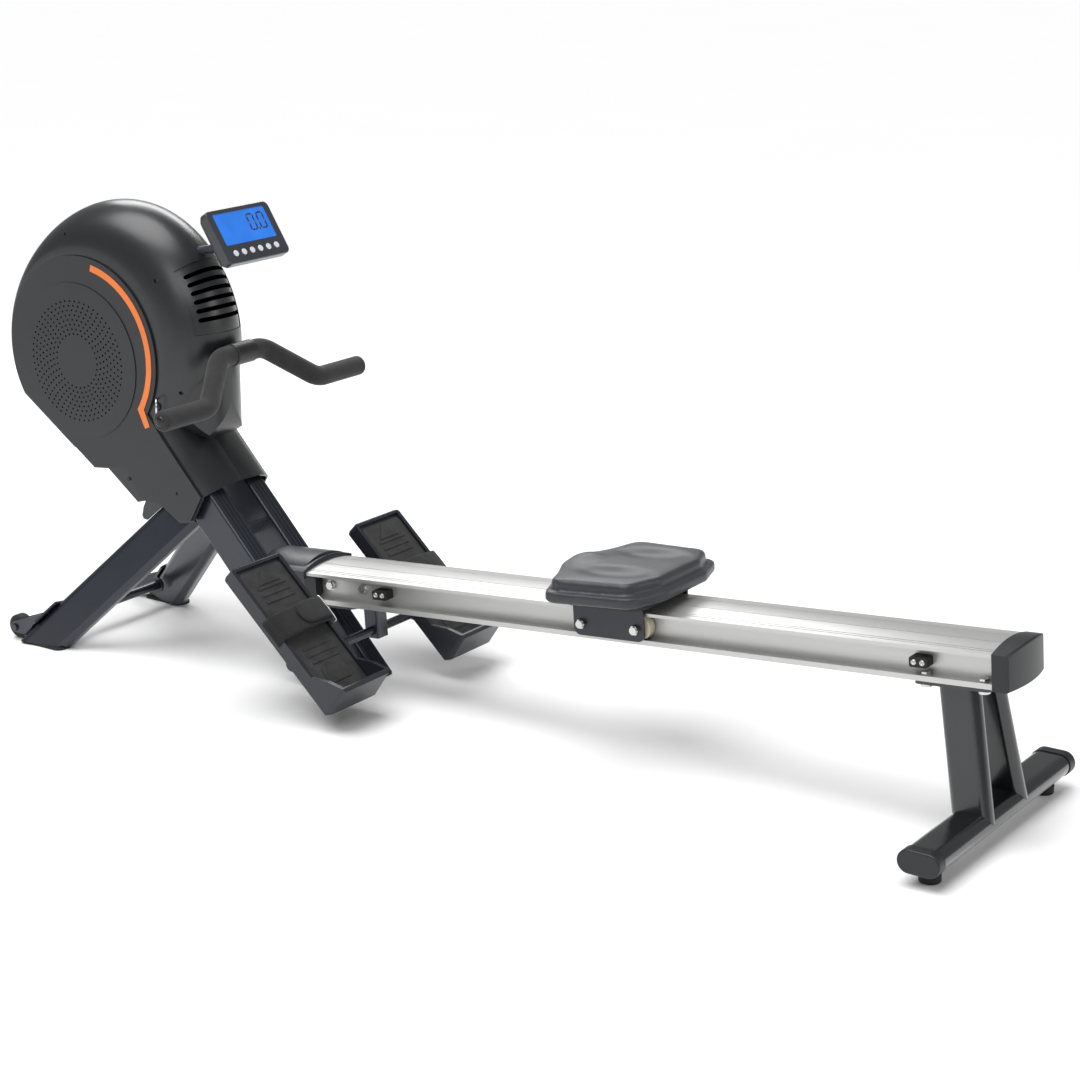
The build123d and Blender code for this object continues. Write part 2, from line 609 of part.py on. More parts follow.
STRAP_ALONG = (108, 158)
STRAP_THICK = 2.5
STRAP_RISE = 18
with BuildPart() as foot_strap_right:
    across = Plane(origin=pedal_toe + pedal_dir * STRAP_ALONG[0], x_dir=(0, 1, 0), z_dir=pedal_dir)
    with BuildSketch(across):
        low = PEDAL_INNER - STRAP_THICK
        high = PEDAL_OUTER + STRAP_THICK
        with BuildLine():
            Polyline((PEDAL_INNER, 3), (PEDAL_INNER, -16), (low, -16), (low, 4))
            ThreePointArc((low, 4), (pedal_middle, STRAP_RISE + STRAP_THICK), (high, 4))
            Polyline((high, 4), (high, -16), (PEDAL_OUTER, -16), (PEDAL_OUTER, 3))
            ThreePointArc((PEDAL_OUTER, 3), (pedal_middle, STRAP_RISE), (PEDAL_INNER, 3))
        make_face()
    extrude(amount=STRAP_ALONG[1] - STRAP_ALONG[0])
write(foot_strap_right, "foot_strap_right")
write_mirrored(foot_strap_right, "foot_strap_left")

# ---------------------------------------------------------------- housing
NECK_OUTER = [(-800, 470), (-831, 335), (-748, 344), (-716, 292), (-665, 287), (-623, 262),
              (-592, 268), (-563, 320), (-649, 414), (-700, 470), (-800, 470)]
NECK_INNER = [(-800, 470), (-827, 340), (-746, 349), (-712, 298), (-709, 235), (-560, 235),
              (-553, 305), (-652, 411), (-703, 470), (-800, 470)]
WEDGE = [(-896, 382), (-832, 337), (-826, 352), (-834, 368), (-870, 378), (-888, 386), (-896, 382)]
UNDER_PANEL = [(-831, 336), (-751, 275), (-720, 284), (-716, 300), (-748, 350), (-831, 336)]
UNDER_CAVITY = [(-820, 336), (-751, 281), (-724, 288), (-720, 300), (-746, 356), (-820, 348), (-820, 336)]
LUG = [(-704, 294), (-712, 278), (-716, 262), (-713, 256), (-704, 255), (-663, 289), (-704, 294)]
NECK_CROWN = 24
NOSE_FRONT = -566
NOSE_DEEP = 74
NOSE_HALF = 69
SIDE_DROP = DRUM_RADIUS - SIDE_RADIUS
chord_plane = Plane(origin=(-1014, 0, 464), x_dir=(0, 1, 0), z_dir=chord_normal)
neck_low = Plane(origin=(-563, 0, 320), x_dir=(0, 1, 0), z_dir=post_dir)


def dome_section(t, inset):
    """Radius and centre of the housing's round section at the fraction t of its half width."""
    k = 1 - sqrt(max(0, 1 - t * t))
    x = DRUM_CENTRE[0] + (SIDE_CENTRE[0] - DRUM_CENTRE[0]) * k
    z = DRUM_CENTRE[1] + (SIDE_CENTRE[1] - DRUM_CENTRE[1]) * k
    return x, z, DRUM_RADIUS - inset - SIDE_DROP * k


def dome_half_width(x, z):
    """Half width of the housing where its surface passes through (x, z)."""
    low, high = 0.0, 1.0
    for _ in range(40):
        t = (low + high) / 2
        cx, cz, r = dome_section(t, 0)
        if sqrt((x - cx) ** 2 + (z - cz) ** 2) < r:
            low = t
        else:
            high = t
    return HOUSING_HALF * low


def nose_solid(inset):
    """Half of the rounded nose that faces the user below the vents: elliptical in plan, U-shaped below."""
    with BuildPart() as nose:
        with BuildSketch(Plane.XY.offset(355)):
            with BuildLine():
                middle = NOSE_FRONT - NOSE_DEEP
                half = NOSE_HALF - inset
                bow = EllipticalCenterArc((middle, 0), NOSE_DEEP - inset, half, start_angle=0, arc_size=90)
                Polyline(bow @ 1, (-760, half), (-760, 0), bow @ 0)
            make_face()
        extrude(amount=245)
        with BuildSketch(Plane.XZ):
            with BuildLine():
                front = NOSE_FRONT - inset
                Polyline((front - 174, 355), (front - 90, 372 + inset), (front - 46, 408 + inset))
                Spline((front - 46, 408 + inset), (front - 8, 436 + inset), (front, 486),
                       tangents=((1, 0.1), (0, 1)))
                Polyline((front, 486), (front, 600), (front - 174, 600), (front - 174, 355))
            make_face()
        extrude(amount=-80, mode=Mode.INTERSECT)
        with BuildSketch(Plane.YZ.offset(-760)):
            with BuildLine():
                cup = EllipticalCenterArc((0, 478), half, 74 - inset, start_angle=270, arc_size=90)
                Polyline(cup @ 1, (half, 600), (0, 600), cup @ 0)
            make_face()
        extrude(amount=240, mode=Mode.INTERSECT)
    return nose.part


def housing_solid(inset, neck_points, crown_start):
    """Half of the housing as a closed solid, shrunk by the inset."""
    half = HOUSING_HALF - inset
    with BuildPart() as body:
        for t in (0, 0.34, 0.62, 0.82, 0.94, 1):
            x, z, r = dome_section(t, inset)
            with BuildSketch(Plane.XZ.offset(-half * t)):
                with Locations((x, z)):
                    Circle(r)
        loft()
        split(bisect_by=chord_plane.offset(inset), keep=Keep.TOP)
        with BuildSketch(Plane.XZ):
            with BuildLine():
                Polyline(*neck_points)
            make_face()
        extrude(amount=-half)
        rise = NECK_CROWN - inset
        with BuildSketch(neck_low.offset(crown_start)):
            with BuildLine():
                Polyline((0, 6), (0, -rise))
                ThreePointArc((0, -rise), (half * 0.6, -rise * 0.78), (half - 1, 0))
                Polyline((half - 1, 0), (half - 1, 6), (0, 6))
            make_face()
        extrude(amount=150 - crown_start)
    return body.part


outer_half = housing_solid(0, NECK_OUTER, 0)
inner_half = housing_solid(HOUSING_WALL, NECK_INNER, -20)
recess_floor = housing_solid(2, NECK_OUTER, 0)
nose_outer = nose_solid(0)
nose_inner = nose_solid(HOUSING_WALL)
with BuildPart() as vent_recess:
    with BuildSketch(Plane.XZ):
        with BuildLine():
            CenterArc(DRUM_CENTRE, 300, 4, 34)
            CenterArc(DRUM_CENTRE, 120, 4, 34)
            Line(PolarLine(DRUM_CENTRE, 300, 4, mode=Mode.PRIVATE) @ 1,
                 PolarLine(DRUM_CENTRE, 120, 4, mode=Mode.PRIVATE) @ 1)
            Line(PolarLine(DRUM_CENTRE, 300, 38, mode=Mode.PRIVATE) @ 1,
                 PolarLine(DRUM_CENTRE, 120, 38, mode=Mode.PRIVATE) @ 1)
        make_face()
    extrude(amount=-61)
    add(recess_floor, mode=Mode.SUBTRACT)

ARM_RADIUS = 8
arm_start = Vector(-700, 0, 729)
hinge_point = console_centre - console_out * (CONSOLE_SIZE[2] + 16) - console_up * 6
arm_plane = Plane(origin=arm_start, x_dir=(0, 1, 0), z_dir=(hinge_point - arm_start).normalized())
HOUSING_SCREWS = [(-665, 698), (-880, 762), (-976, 645), (-620, 500)]
COVER_SCREWS = [(-742, 327), (-623, 318)]
SCREW_RADIUS = 3.5
with BuildPart() as housing_right:
    add(outer_half)
    add(nose_outer)
    for outline, start, end in ((UNDER_PANEL, 0, 60), (LUG, 70, 87), (WEDGE, 0, 87.5)):
        with BuildSketch(Plane.XZ.offset(-start)):
            with BuildLine():
                Polyline(*outline)
            make_face()
        extrude(amount=start - end)
    with BuildSketch(Plane.XZ):
        with BuildLine():
            Polyline(*UNDER_CAVITY)
        make_face()
    extrude(amount=-56, mode=Mode.SUBTRACT)
    add(inner_half, mode=Mode.SUBTRACT)
    add(nose_inner, mode=Mode.SUBTRACT)
    add(vent_recess.part, mode=Mode.SUBTRACT)
    for step in range(6):
        angle = radians(11 + 4.4 * step)
        outward = Vector(cos(angle), 0, sin(angle))
        origin = Vector(DRUM_CENTRE[0], 0, DRUM_CENTRE[1]) + outward * 190
        with BuildSketch(Plane(origin=origin, x_dir=(0, 1, 0), z_dir=outward)):
            with Locations((0, 0)):
                SlotOverall(104, 8)
        extrude(amount=60, mode=Mode.SUBTRACT)
    with BuildSketch(Plane.YZ.offset(-640)):
        with Locations((0, HANDLE_CENTRE[1])):
            Rectangle(34, 9)
    extrude(amount=90, mode=Mode.SUBTRACT)
    with BuildSketch(Plane.XZ):
        with Locations(*HOUSING_SCREWS, *COVER_SCREWS):
            Circle(SCREW_RADIUS)
    extrude(amount=-HOUSING_HALF, mode=Mode.SUBTRACT)
    with BuildSketch(arm_plane):
        Circle(ARM_RADIUS)
    extrude(amount=110, mode=Mode.SUBTRACT)
write(housing_right, "housing_right")
write_mirrored(housing_right, "housing_left")

with BuildPart() as housing_screws:
    for side in (-1, 1):
        for x, z in HOUSING_SCREWS:
            on_dome = dome_half_width(x, z)
            with BuildSketch(Plane.XZ.offset(-side * ((on_dome if on_dome > NOSE_HALF else NOSE_HALF) - 2))):
                with Locations((x, z)):
                    Circle(SCREW_RADIUS)
            extrude(amount=side * 14)
        with BuildSketch(Plane.XZ.offset(-side * (HOUSING_HALF + COVER_THICK - 1))):
            with Locations(*COVER_SCREWS):
                Circle(SCREW_RADIUS)
        extrude(amount=side * 16)
write(housing_screws, "housing_screws")

COVER_NECK = [(-760, 470), (-898, 388), (-829, 339), (-746, 347), (-713, 296), (-664, 291), (-624, 266),
              (-594, 271), (-567, 319), (-651, 411), (-700, 470), (-760, 470)]
PANEL_RADIUS = 144
PERFORATION = (-854, 533)
with BuildPart() as side_cover_right:
    with BuildSketch(Plane.XZ.offset(-HOUSING_HALF)):
        with Locations(SIDE_CENTRE):
            Circle(COVER_RADIUS)
        with BuildLine():
            Polyline(*COVER_NECK)
        make_face()
    extrude(amount=-COVER_THICK)
    split(bisect_by=chord_plane.offset(2), keep=Keep.TOP)
    with BuildSketch(Plane.XZ.offset(-HOUSING_HALF - COVER_THICK)):
        with Locations(PERFORATION):
            Circle(PANEL_RADIUS)
    extrude(amount=-1.5)
    split(bisect_by=chord_plane.offset(8), keep=Keep.TOP)
    with BuildSketch(Plane.XZ.offset(-HOUSING_HALF)):
        for ring in range(8):
            count = 30 + 4 * ring
            with Locations(PERFORATION):
                with PolarLocations(50 + 8.6 * ring, count, start_angle=3.0 * ring):
                    Circle(1.9)
    extrude(amount=-2 * COVER_THICK, mode=Mode.SUBTRACT)
    with BuildSketch(Plane.XZ.offset(-HOUSING_HALF)):
        with Locations(*COVER_SCREWS):
            Circle(SCREW_RADIUS)
    extrude(amount=-2 * COVER_THICK, mode=Mode.SUBTRACT)
write(side_cover_right, "side_cover_right")
write_mirrored(side_cover_right, "side_cover_left")

STRIPE_RADIUS = 163
STRIPE_WIDTH = 12
with BuildPart() as accent_stripe_right:
    with BuildSketch(Plane.XZ.offset(-HOUSING_HALF - COVER_THICK)):
        with BuildLine():
            inner = STRIPE_RADIUS - STRIPE_WIDTH / 2
            outer = STRIPE_RADIUS + STRIPE_WIDTH / 2
            upper = CenterArc(SIDE_CENTRE, outer, -30, 109)
            lower = CenterArc(SIDE_CENTRE, inner, -33, 112)
            Line(upper @ 1, lower @ 1)
            tip = Vector(SIDE_CENTRE[0] + 196 * cos(radians(-36)), SIDE_CENTRE[1] + 196 * sin(radians(-36)))
            back = Vector(SIDE_CENTRE[0] + 190 * cos(radians(-39)), SIDE_CENTRE[1] + 190 * sin(radians(-39)))
            Polyline(upper @ 0, tip, back, lower @ 0)
        make_face()
    extrude(amount=-1)
write_pair(accent_stripe_right, "accent_stripes")

# ---------------------------------------------------------------- fan, strap drum and their plates
PLATE_Y = 46
FAN_AXLE_RADIUS = 6
SHAFT_RADIUS = 6
post_top = Plane(origin=post_origin + post_dir * POST_LENGTH, x_dir=(0, 1, 0), z_dir=post_dir)
with BuildPart() as flywheel_plates:
    with BuildSketch(post_top):
        RectangleRounded(2 * POST_OUTER, POST_DEPTH, 7)
    extrude(amount=5)
    for side in (-1, 1):
        with BuildSketch(Plane.XZ.offset(-side * PLATE_Y)):
            with BuildLine():
                Polyline((-654, 392), (-654, 486), (-622, 510), (-618, 560), (-640, 572), (-850, 572),
                         (-864, 548), (-856, 524), (-716, 500), (-690, 440), (-676, 348), (-654, 392))
            make_face()
            with Locations((-725, 535)):
                SlotOverall(90, 26, mode=Mode.SUBTRACT)
            with Locations(SIDE_CENTRE, STRAP_DRUM):
                Circle(FAN_AXLE_RADIUS, mode=Mode.SUBTRACT)
        extrude(amount=-side * 4)
    split(bisect_by=post_top, keep=Keep.TOP)
write(flywheel_plates, "flywheel_plates")

with BuildPart() as fan_shafts:
    with BuildSketch(Plane.XZ.offset(-PLATE_Y - 8)):
        with Locations(SIDE_CENTRE, STRAP_DRUM):
            Circle(FAN_AXLE_RADIUS)
    extrude(amount=2 * (PLATE_Y + 8))
    for side in (-1, 1):
        with BuildSketch(Plane.XZ.offset(-side * (PLATE_Y + 4))):
            with Locations(SIDE_CENTRE, STRAP_DRUM):
                RegularPolygon(9, 6)
        extrude(amount=-side * 6)
write(fan_shafts, "fan_shafts")

PULLEY_Y = (33, 43)
BELT_THICK = 2.5
FAN_PULLEY = 22
DRUM_PULLEY = 34
DRUM_SPOOL = 30
with BuildPart() as fan_wheel:
    with BuildSketch(Plane.XZ.offset(FAN_HALF)):
        with Locations(SIDE_CENTRE):
            Circle(24)
    extrude(amount=-2 * FAN_HALF)
    with BuildSketch(Plane.XZ.offset(2)):
        with Locations(SIDE_CENTRE):
            Circle(FAN_RADIUS)
    extrude(amount=-4)
    for y in (-FAN_HALF, FAN_HALF - 3):
        with BuildSketch(Plane.XZ.offset(-y)):
            with Locations(SIDE_CENTRE):
                Circle(FAN_RADIUS)
                Circle(FAN_RADIUS - 6, mode=Mode.SUBTRACT)
        extrude(amount=-3)
    with BuildSketch(Plane.XZ.offset(FAN_HALF)):
        with Locations(SIDE_CENTRE):
            with PolarLocations((FAN_RADIUS + 88) / 2, 20):
                Rectangle(FAN_RADIUS - 88, 2.4, rotation=14)
    extrude(amount=-2 * FAN_HALF)
    with BuildSketch(Plane.XZ.offset(-FAN_HALF)):
        with Locations(SIDE_CENTRE):
            Circle(14)
    extrude(amount=-(PULLEY_Y[0] - FAN_HALF))
    with BuildSketch(Plane.XZ.offset(-PULLEY_Y[0])):
        with Locations(SIDE_CENTRE):
            Circle(FAN_PULLEY)
    extrude(amount=-(PULLEY_Y[1] - PULLEY_Y[0]))
    with BuildSketch(Plane.XZ.offset(FAN_HALF + 1)):
        with Locations(SIDE_CENTRE):
            Circle(FAN_AXLE_RADIUS + 0.06)
    extrude(amount=-(FAN_HALF + PULLEY_Y[1] + 2), mode=Mode.SUBTRACT)
write(fan_wheel, "fan_wheel")

with BuildPart() as strap_drum:
    with BuildSketch(Plane.XZ.offset(24)):
        with Locations(STRAP_DRUM):
            Circle(DRUM_SPOOL)
    extrude(amount=-48)
    for y in (-24, 21):
        with BuildSketch(Plane.XZ.offset(-y)):
            with Locations(STRAP_DRUM):
                Circle(DRUM_SPOOL + 12)
        extrude(amount=-3)
    with BuildSketch(Plane.XZ.offset(-24)):
        with Locations(STRAP_DRUM):
            Circle(14)
    extrude(amount=-(PULLEY_Y[0] - 24))
    with BuildSketch(Plane.XZ.offset(-PULLEY_Y[0])):
        with Locations(STRAP_DRUM):
            Circle(DRUM_PULLEY)
    extrude(amount=-(PULLEY_Y[1] - PULLEY_Y[0]))
    with BuildSketch(Plane.XZ.offset(30)):
        with Locations(STRAP_DRUM):
            Circle(SHAFT_RADIUS + 0.06)
    extrude(amount=-100, mode=Mode.SUBTRACT)
write(strap_drum, "strap_drum")

with BuildPart() as recoil_spring:
    with BuildSketch(Plane.XZ.offset(29)):
        with Locations(STRAP_DRUM):
            Circle(38)
            Circle(SHAFT_RADIUS, mode=Mode.SUBTRACT)
    extrude(amount=PLATE_Y - 29)
write(recoil_spring, "recoil_spring")

with BuildPart() as drive_belt:
    with BuildSketch(Plane.XZ.offset(-PULLEY_Y[0] - 2)):
        for grow, mode in ((BELT_THICK + 0.3, Mode.ADD), (0.3, Mode.SUBTRACT)):
            with BuildSketch(mode=Mode.PRIVATE) as loop:
                with Locations(SIDE_CENTRE):
                    Circle(FAN_PULLEY + grow)
                with Locations(STRAP_DRUM):
                    Circle(DRUM_PULLEY + grow)
                make_hull()
            add(loop.sketch, mode=mode)
    extrude(amount=-(PULLEY_Y[1] - PULLEY_Y[0] - 4))
write(drive_belt, "drive_belt")

# ---------------------------------------------------------------- pull handle
HANDLE_TUBE = 12
with BuildPart() as handle_bar:
    with BuildLine() as handle_path:
        cx, cz = HANDLE_CENTRE
        ex, ez = HANDLE_END
        FilletPolyline((ex, -HANDLE_HALF + 2, ez), (ex, -148, ez), (cx, -58, cz), (cx, 58, cz), (ex, 148, ez),
                       (ex, HANDLE_HALF - 2, ez), radius=42)
    with BuildSketch(Plane(origin=handle_path.line @ 0, z_dir=(0, 1, 0))):
        Circle(HANDLE_TUBE)
    sweep()
write(handle_bar, "handle_bar")

with BuildPart() as handle_grip_right:
    with BuildLine() as grip_path:
        FilletPolyline((cx, 27, cz), (cx, 58, cz), (ex, 148, ez), (ex, HANDLE_HALF, ez), radius=42)
    with BuildSketch(Plane(origin=grip_path.line @ 0, z_dir=(0, 1, 0))):
        Circle(GRIP_RADIUS)
    sweep()
    fillet(handle_grip_right.faces().sort_by(Axis.Y)[-1].edges(), radius=7)
    add(handle_bar.part, mode=Mode.SUBTRACT)
write_pair(handle_grip_right, "handle_grips")

SLEEVE_RADIUS = 20
with BuildPart() as handle_sleeve:
    with BuildSketch(Plane.XZ.offset(26)):
        with Locations(HANDLE_CENTRE):
            Circle(SLEEVE_RADIUS)
            Circle(HANDLE_TUBE, mode=Mode.SUBTRACT)
    extrude(amount=-52)
    chamfer(handle_sleeve.edges().filter_by(GeomType.CIRCLE).group_by(SortBy.RADIUS)[-1], length=1.5)
write(handle_sleeve, "handle_sleeve")

with BuildPart() as pull_strap:
    with BuildSketch(Plane.XZ.offset(12.5)):
        with Locations((cx - SLEEVE_RADIUS - 14, cz)):
            Rectangle(30, 2.5)
    extrude(amount=-25)
    with BuildSketch(Plane.XZ.offset(12.5)):
        with Locations(HANDLE_CENTRE):
            Circle(SLEEVE_RADIUS + 0.5, mode=Mode.ADD)
    extrude(amount=-25, mode=Mode.SUBTRACT)
write(pull_strap, "pull_strap")

# ---------------------------------------------------------------- console
console_w, console_h, console_d = CONSOLE_SIZE
console_plane = Plane(origin=console_centre, x_dir=(0, 1, 0), z_dir=console_out)
PIN_RADIUS = 4
with BuildPart() as console_arm:
    with BuildSketch(arm_plane):
        Circle(ARM_RADIUS)
    extrude(amount=(hinge_point - arm_start).length - 6)
    with BuildSketch(Plane.XZ.offset(-9)):
        with Locations((hinge_point.X, hinge_point.Z)):
            Circle(13)
    extrude(amount=18)
    with BuildSketch(Plane.XZ.offset(17)):
        with Locations((hinge_point.X, hinge_point.Z)):
            Circle(PIN_RADIUS)
    extrude(amount=-34)
write(console_arm, "console_arm")

with BuildPart() as console_case:
    with BuildSketch(console_plane.offset(-console_d)):
        RectangleRounded(console_w - 10, console_h - 10, 9)
    with BuildSketch(console_plane.offset(-console_d + 8)):
        RectangleRounded(console_w, console_h, 11)
    loft()
    with BuildSketch(console_plane.offset(-console_d + 8)):
        RectangleRounded(console_w, console_h, 11)
    extrude(amount=console_d - 8)
    fillet(console_case.faces().sort_by(Axis(console_centre, console_out))[-1].edges(), radius=2)
    with BuildSketch(console_plane):
        with Locations((0, 13)):
            RectangleRounded(134, 60, 3)
    extrude(amount=-3, mode=Mode.SUBTRACT)
    with BuildSketch(console_plane):
        with Locations((0, -33)):
            with GridLocations(21.5, 1, 6, 1):
                Circle(6)
    extrude(amount=-5, mode=Mode.SUBTRACT)
    for side in (-1, 1):
        with BuildSketch(Plane.XZ.offset(-side * 10)):
            with Locations((hinge_point.X, hinge_point.Z)):
                Circle(11)
        extrude(amount=-side * 5)
        with BuildSketch(console_plane.offset(-console_d)):
            with Locations((side * 12.5, -6)):
                Rectangle(5, 22)
        extrude(amount=-16)
    with BuildSketch(Plane.XZ.offset(20)):
        with Locations((hinge_point.X, hinge_point.Z)):
            Circle(PIN_RADIUS + 0.06)
    extrude(amount=-40, mode=Mode.SUBTRACT)
write(console_case, "console_case")

with BuildPart() as console_screen:
    with BuildSketch(console_plane.offset(-3)):
        with Locations((0, 13)):
            RectangleRounded(134, 60, 3)
    extrude(amount=2)
write(console_screen, "console_screen")

for number in range(6):
    with BuildPart() as button:
        with BuildSketch(console_plane.offset(-3.6)):
            with Locations(((number - 2.5) * 21.5, -33)):
                Circle(5.7)
        extrude(amount=5)
        fillet(button.edges().filter_by(GeomType.CIRCLE).sort_by(Axis.Z)[-1], radius=1)
    write(button, f"console_button_{number + 1}")
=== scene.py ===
"""Looks of the air rowing machine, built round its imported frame. Metres, the frame's own axes."""
import math

import bmesh
import bpy
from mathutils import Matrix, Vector


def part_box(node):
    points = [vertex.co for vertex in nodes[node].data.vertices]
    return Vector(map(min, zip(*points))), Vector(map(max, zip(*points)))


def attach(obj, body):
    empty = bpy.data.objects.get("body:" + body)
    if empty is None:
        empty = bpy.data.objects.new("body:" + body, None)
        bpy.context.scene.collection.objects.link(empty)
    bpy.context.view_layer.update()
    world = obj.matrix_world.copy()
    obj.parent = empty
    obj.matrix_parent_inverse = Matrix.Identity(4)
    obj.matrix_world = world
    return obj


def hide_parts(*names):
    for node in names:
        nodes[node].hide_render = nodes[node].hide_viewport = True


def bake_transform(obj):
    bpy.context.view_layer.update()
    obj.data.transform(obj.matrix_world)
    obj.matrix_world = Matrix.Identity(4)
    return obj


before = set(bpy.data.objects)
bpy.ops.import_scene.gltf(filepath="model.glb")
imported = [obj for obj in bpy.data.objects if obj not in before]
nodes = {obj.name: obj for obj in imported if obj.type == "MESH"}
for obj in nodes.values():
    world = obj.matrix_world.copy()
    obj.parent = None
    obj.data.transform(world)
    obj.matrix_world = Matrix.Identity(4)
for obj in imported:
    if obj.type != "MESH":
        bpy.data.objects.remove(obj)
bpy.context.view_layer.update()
scene = bpy.context.scene

# ---------------------------------------------------------------- camera, light, floor
camera_data = bpy.data.cameras.new("camera")
camera_data.lens = 82.49
camera_data.sensor_width = 36
camera_data.clip_end = 400
camera = bpy.data.objects.new("camera", camera_data)
camera.location = (2.349, -3.264, 1.500)
camera.rotation_euler = (math.radians(73.5), 0, math.radians(34.2775))
scene.collection.objects.link(camera)
scene.camera = camera

world = bpy.data.worlds.new("studio")
world.use_nodes = True
world_nodes, world_links = world.node_tree.nodes, world.node_tree.links
sky = world_nodes["Background"]
sky.inputs["Color"].default_value = (1, 1, 1, 1)
seen_by = world_nodes.new("ShaderNodeLightPath")
sky_level = world_nodes.new("ShaderNodeMapRange")
sky_level.inputs["To Min"].default_value = 0.27
sky_level.inputs["To Max"].default_value = 1.0
world_links.new(seen_by.outputs["Is Camera Ray"], sky_level.inputs["Value"])
world_links.new(sky_level.outputs["Result"], sky.inputs["Strength"])
scene.world = world
scene.view_settings.view_transform = "Standard"


def area_light(name, location, target, size, power):
    data = bpy.data.lights.new(name, "AREA")
    data.shape = "RECTANGLE"
    data.size, data.size_y = size
    data.energy = power
    lamp = bpy.data.objects.new(name, data)
    lamp.location = location
    lamp.rotation_euler = (Vector(target) - Vector(location)).to_track_quat("-Z", "Y").to_euler()
    scene.collection.objects.link(lamp)


area_light("key", (0.9, -2.6, 2.4), (0, 0, 0.3), (2.0, 1.2), 24)
area_light("rim", (-1.9, 2.0, 2.2), (-0.3, 0, 0.5), (2.0, 0.9), 34)
area_light("side", (3.0, 0.6, 1.7), (0.2, 0, 0.3), (1.4, 1.4), 16)
sun_data = bpy.data.lights.new("sun", "SUN")
sun_data.energy = 2.75
sun_data.angle = math.radians(50)
sun = bpy.data.objects.new("sun", sun_data)
sun.rotation_euler = (math.radians(14), math.radians(-10), 0)
scene.collection.objects.link(sun)


# ---------------------------------------------------------------- materials
SEAM_HALF = 0.0008
FLECK_SCALE = 1400


def colour4(c, k=1.0):
    return (min(c[0] * k, 1), min(c[1] * k, 1), min(c[2] * k, 1), 1)


def material(name, colour, rough, metallic=0.0, grain=900.0, bump=0.15, vary=0.15, blotch=9.0,
             coat=0.0, coat_rough=0.1, sheen=0.0, stretch=(1, 1, 1), depth=0.0004, rough_vary=0.08,
             flecks=0.0, specular=0.5):
    """A surface with blotchy colour, fine grain in the bump and uneven gloss, by noise in object space."""
    m = bpy.data.materials.new(name)
    m.use_nodes = True
    m.diffuse_color = colour4(colour)
    t = m.node_tree
    n, link = t.nodes, t.links
    s = n["Principled BSDF"]
    s.inputs["Metallic"].default_value = metallic
    s.inputs["Coat Weight"].default_value = coat
    s.inputs["Coat Roughness"].default_value = coat_rough
    s.inputs["Sheen Weight"].default_value = sheen
    s.inputs["Specular IOR Level"].default_value = specular
    where = n.new("ShaderNodeTexCoord")
    squeeze = n.new("ShaderNodeMapping")
    squeeze.inputs["Scale"].default_value = stretch
    link.new(where.outputs["Object"], squeeze.inputs["Vector"])
    large = n.new("ShaderNodeTexNoise")
    large.inputs["Scale"].default_value = blotch
    large.inputs["Detail"].default_value = 5
    link.new(squeeze.outputs["Vector"], large.inputs["Vector"])
    fine = n.new("ShaderNodeTexNoise")
    fine.inputs["Scale"].default_value = grain
    fine.inputs["Detail"].default_value = 3
    link.new(squeeze.outputs["Vector"], fine.inputs["Vector"])
    tint = n.new("ShaderNodeValToRGB")
    tint.color_ramp.elements[0].position = 0.3
    tint.color_ramp.elements[0].color = colour4(colour, 1 - vary)
    tint.color_ramp.elements[1].position = 0.7
    tint.color_ramp.elements[1].color = colour4(colour, 1 + vary)
    link.new(large.outputs["Fac"], tint.inputs["Fac"])
    last = tint.outputs["Color"]
    if flecks:
        spots = n.new("ShaderNodeTexVoronoi")
        spots.inputs["Scale"].default_value = FLECK_SCALE
        link.new(where.outputs["Object"], spots.inputs["Vector"])
        pick = n.new("ShaderNodeValToRGB")
        pick.color_ramp.elements[0].position = 0.0
        pick.color_ramp.elements[0].color = (flecks, flecks, flecks, 1)
        pick.color_ramp.elements[1].position = 0.22
        pick.color_ramp.elements[1].color = (0, 0, 0, 1)
        link.new(spots.outputs["Distance"], pick.inputs["Fac"])
        bright = n.new("ShaderNodeMix")
        bright.data_type = "RGBA"
        bright.blend_type = "ADD"
        bright.inputs["Factor"].default_value = 1
        link.new(last, bright.inputs["A"])
        link.new(pick.outputs["Color"], bright.inputs["B"])
        last = bright.outputs["Result"]
    link.new(last, s.inputs["Base Color"])
    gloss = n.new("ShaderNodeMapRange")
    gloss.inputs["To Min"].default_value = max(rough - rough_vary, 0.02)
    gloss.inputs["To Max"].default_value = min(rough + rough_vary, 1)
    link.new(fine.outputs["Fac"], gloss.inputs["Value"])
    link.new(gloss.outputs["Result"], s.inputs["Roughness"])
    relief = n.new("ShaderNodeBump")
    relief.inputs["Strength"].default_value = bump
    relief.inputs["Distance"].default_value = depth
    link.new(fine.outputs["Fac"], relief.inputs["Height"])
    link.new(relief.outputs["Normal"], s.inputs["Normal"])
    return m


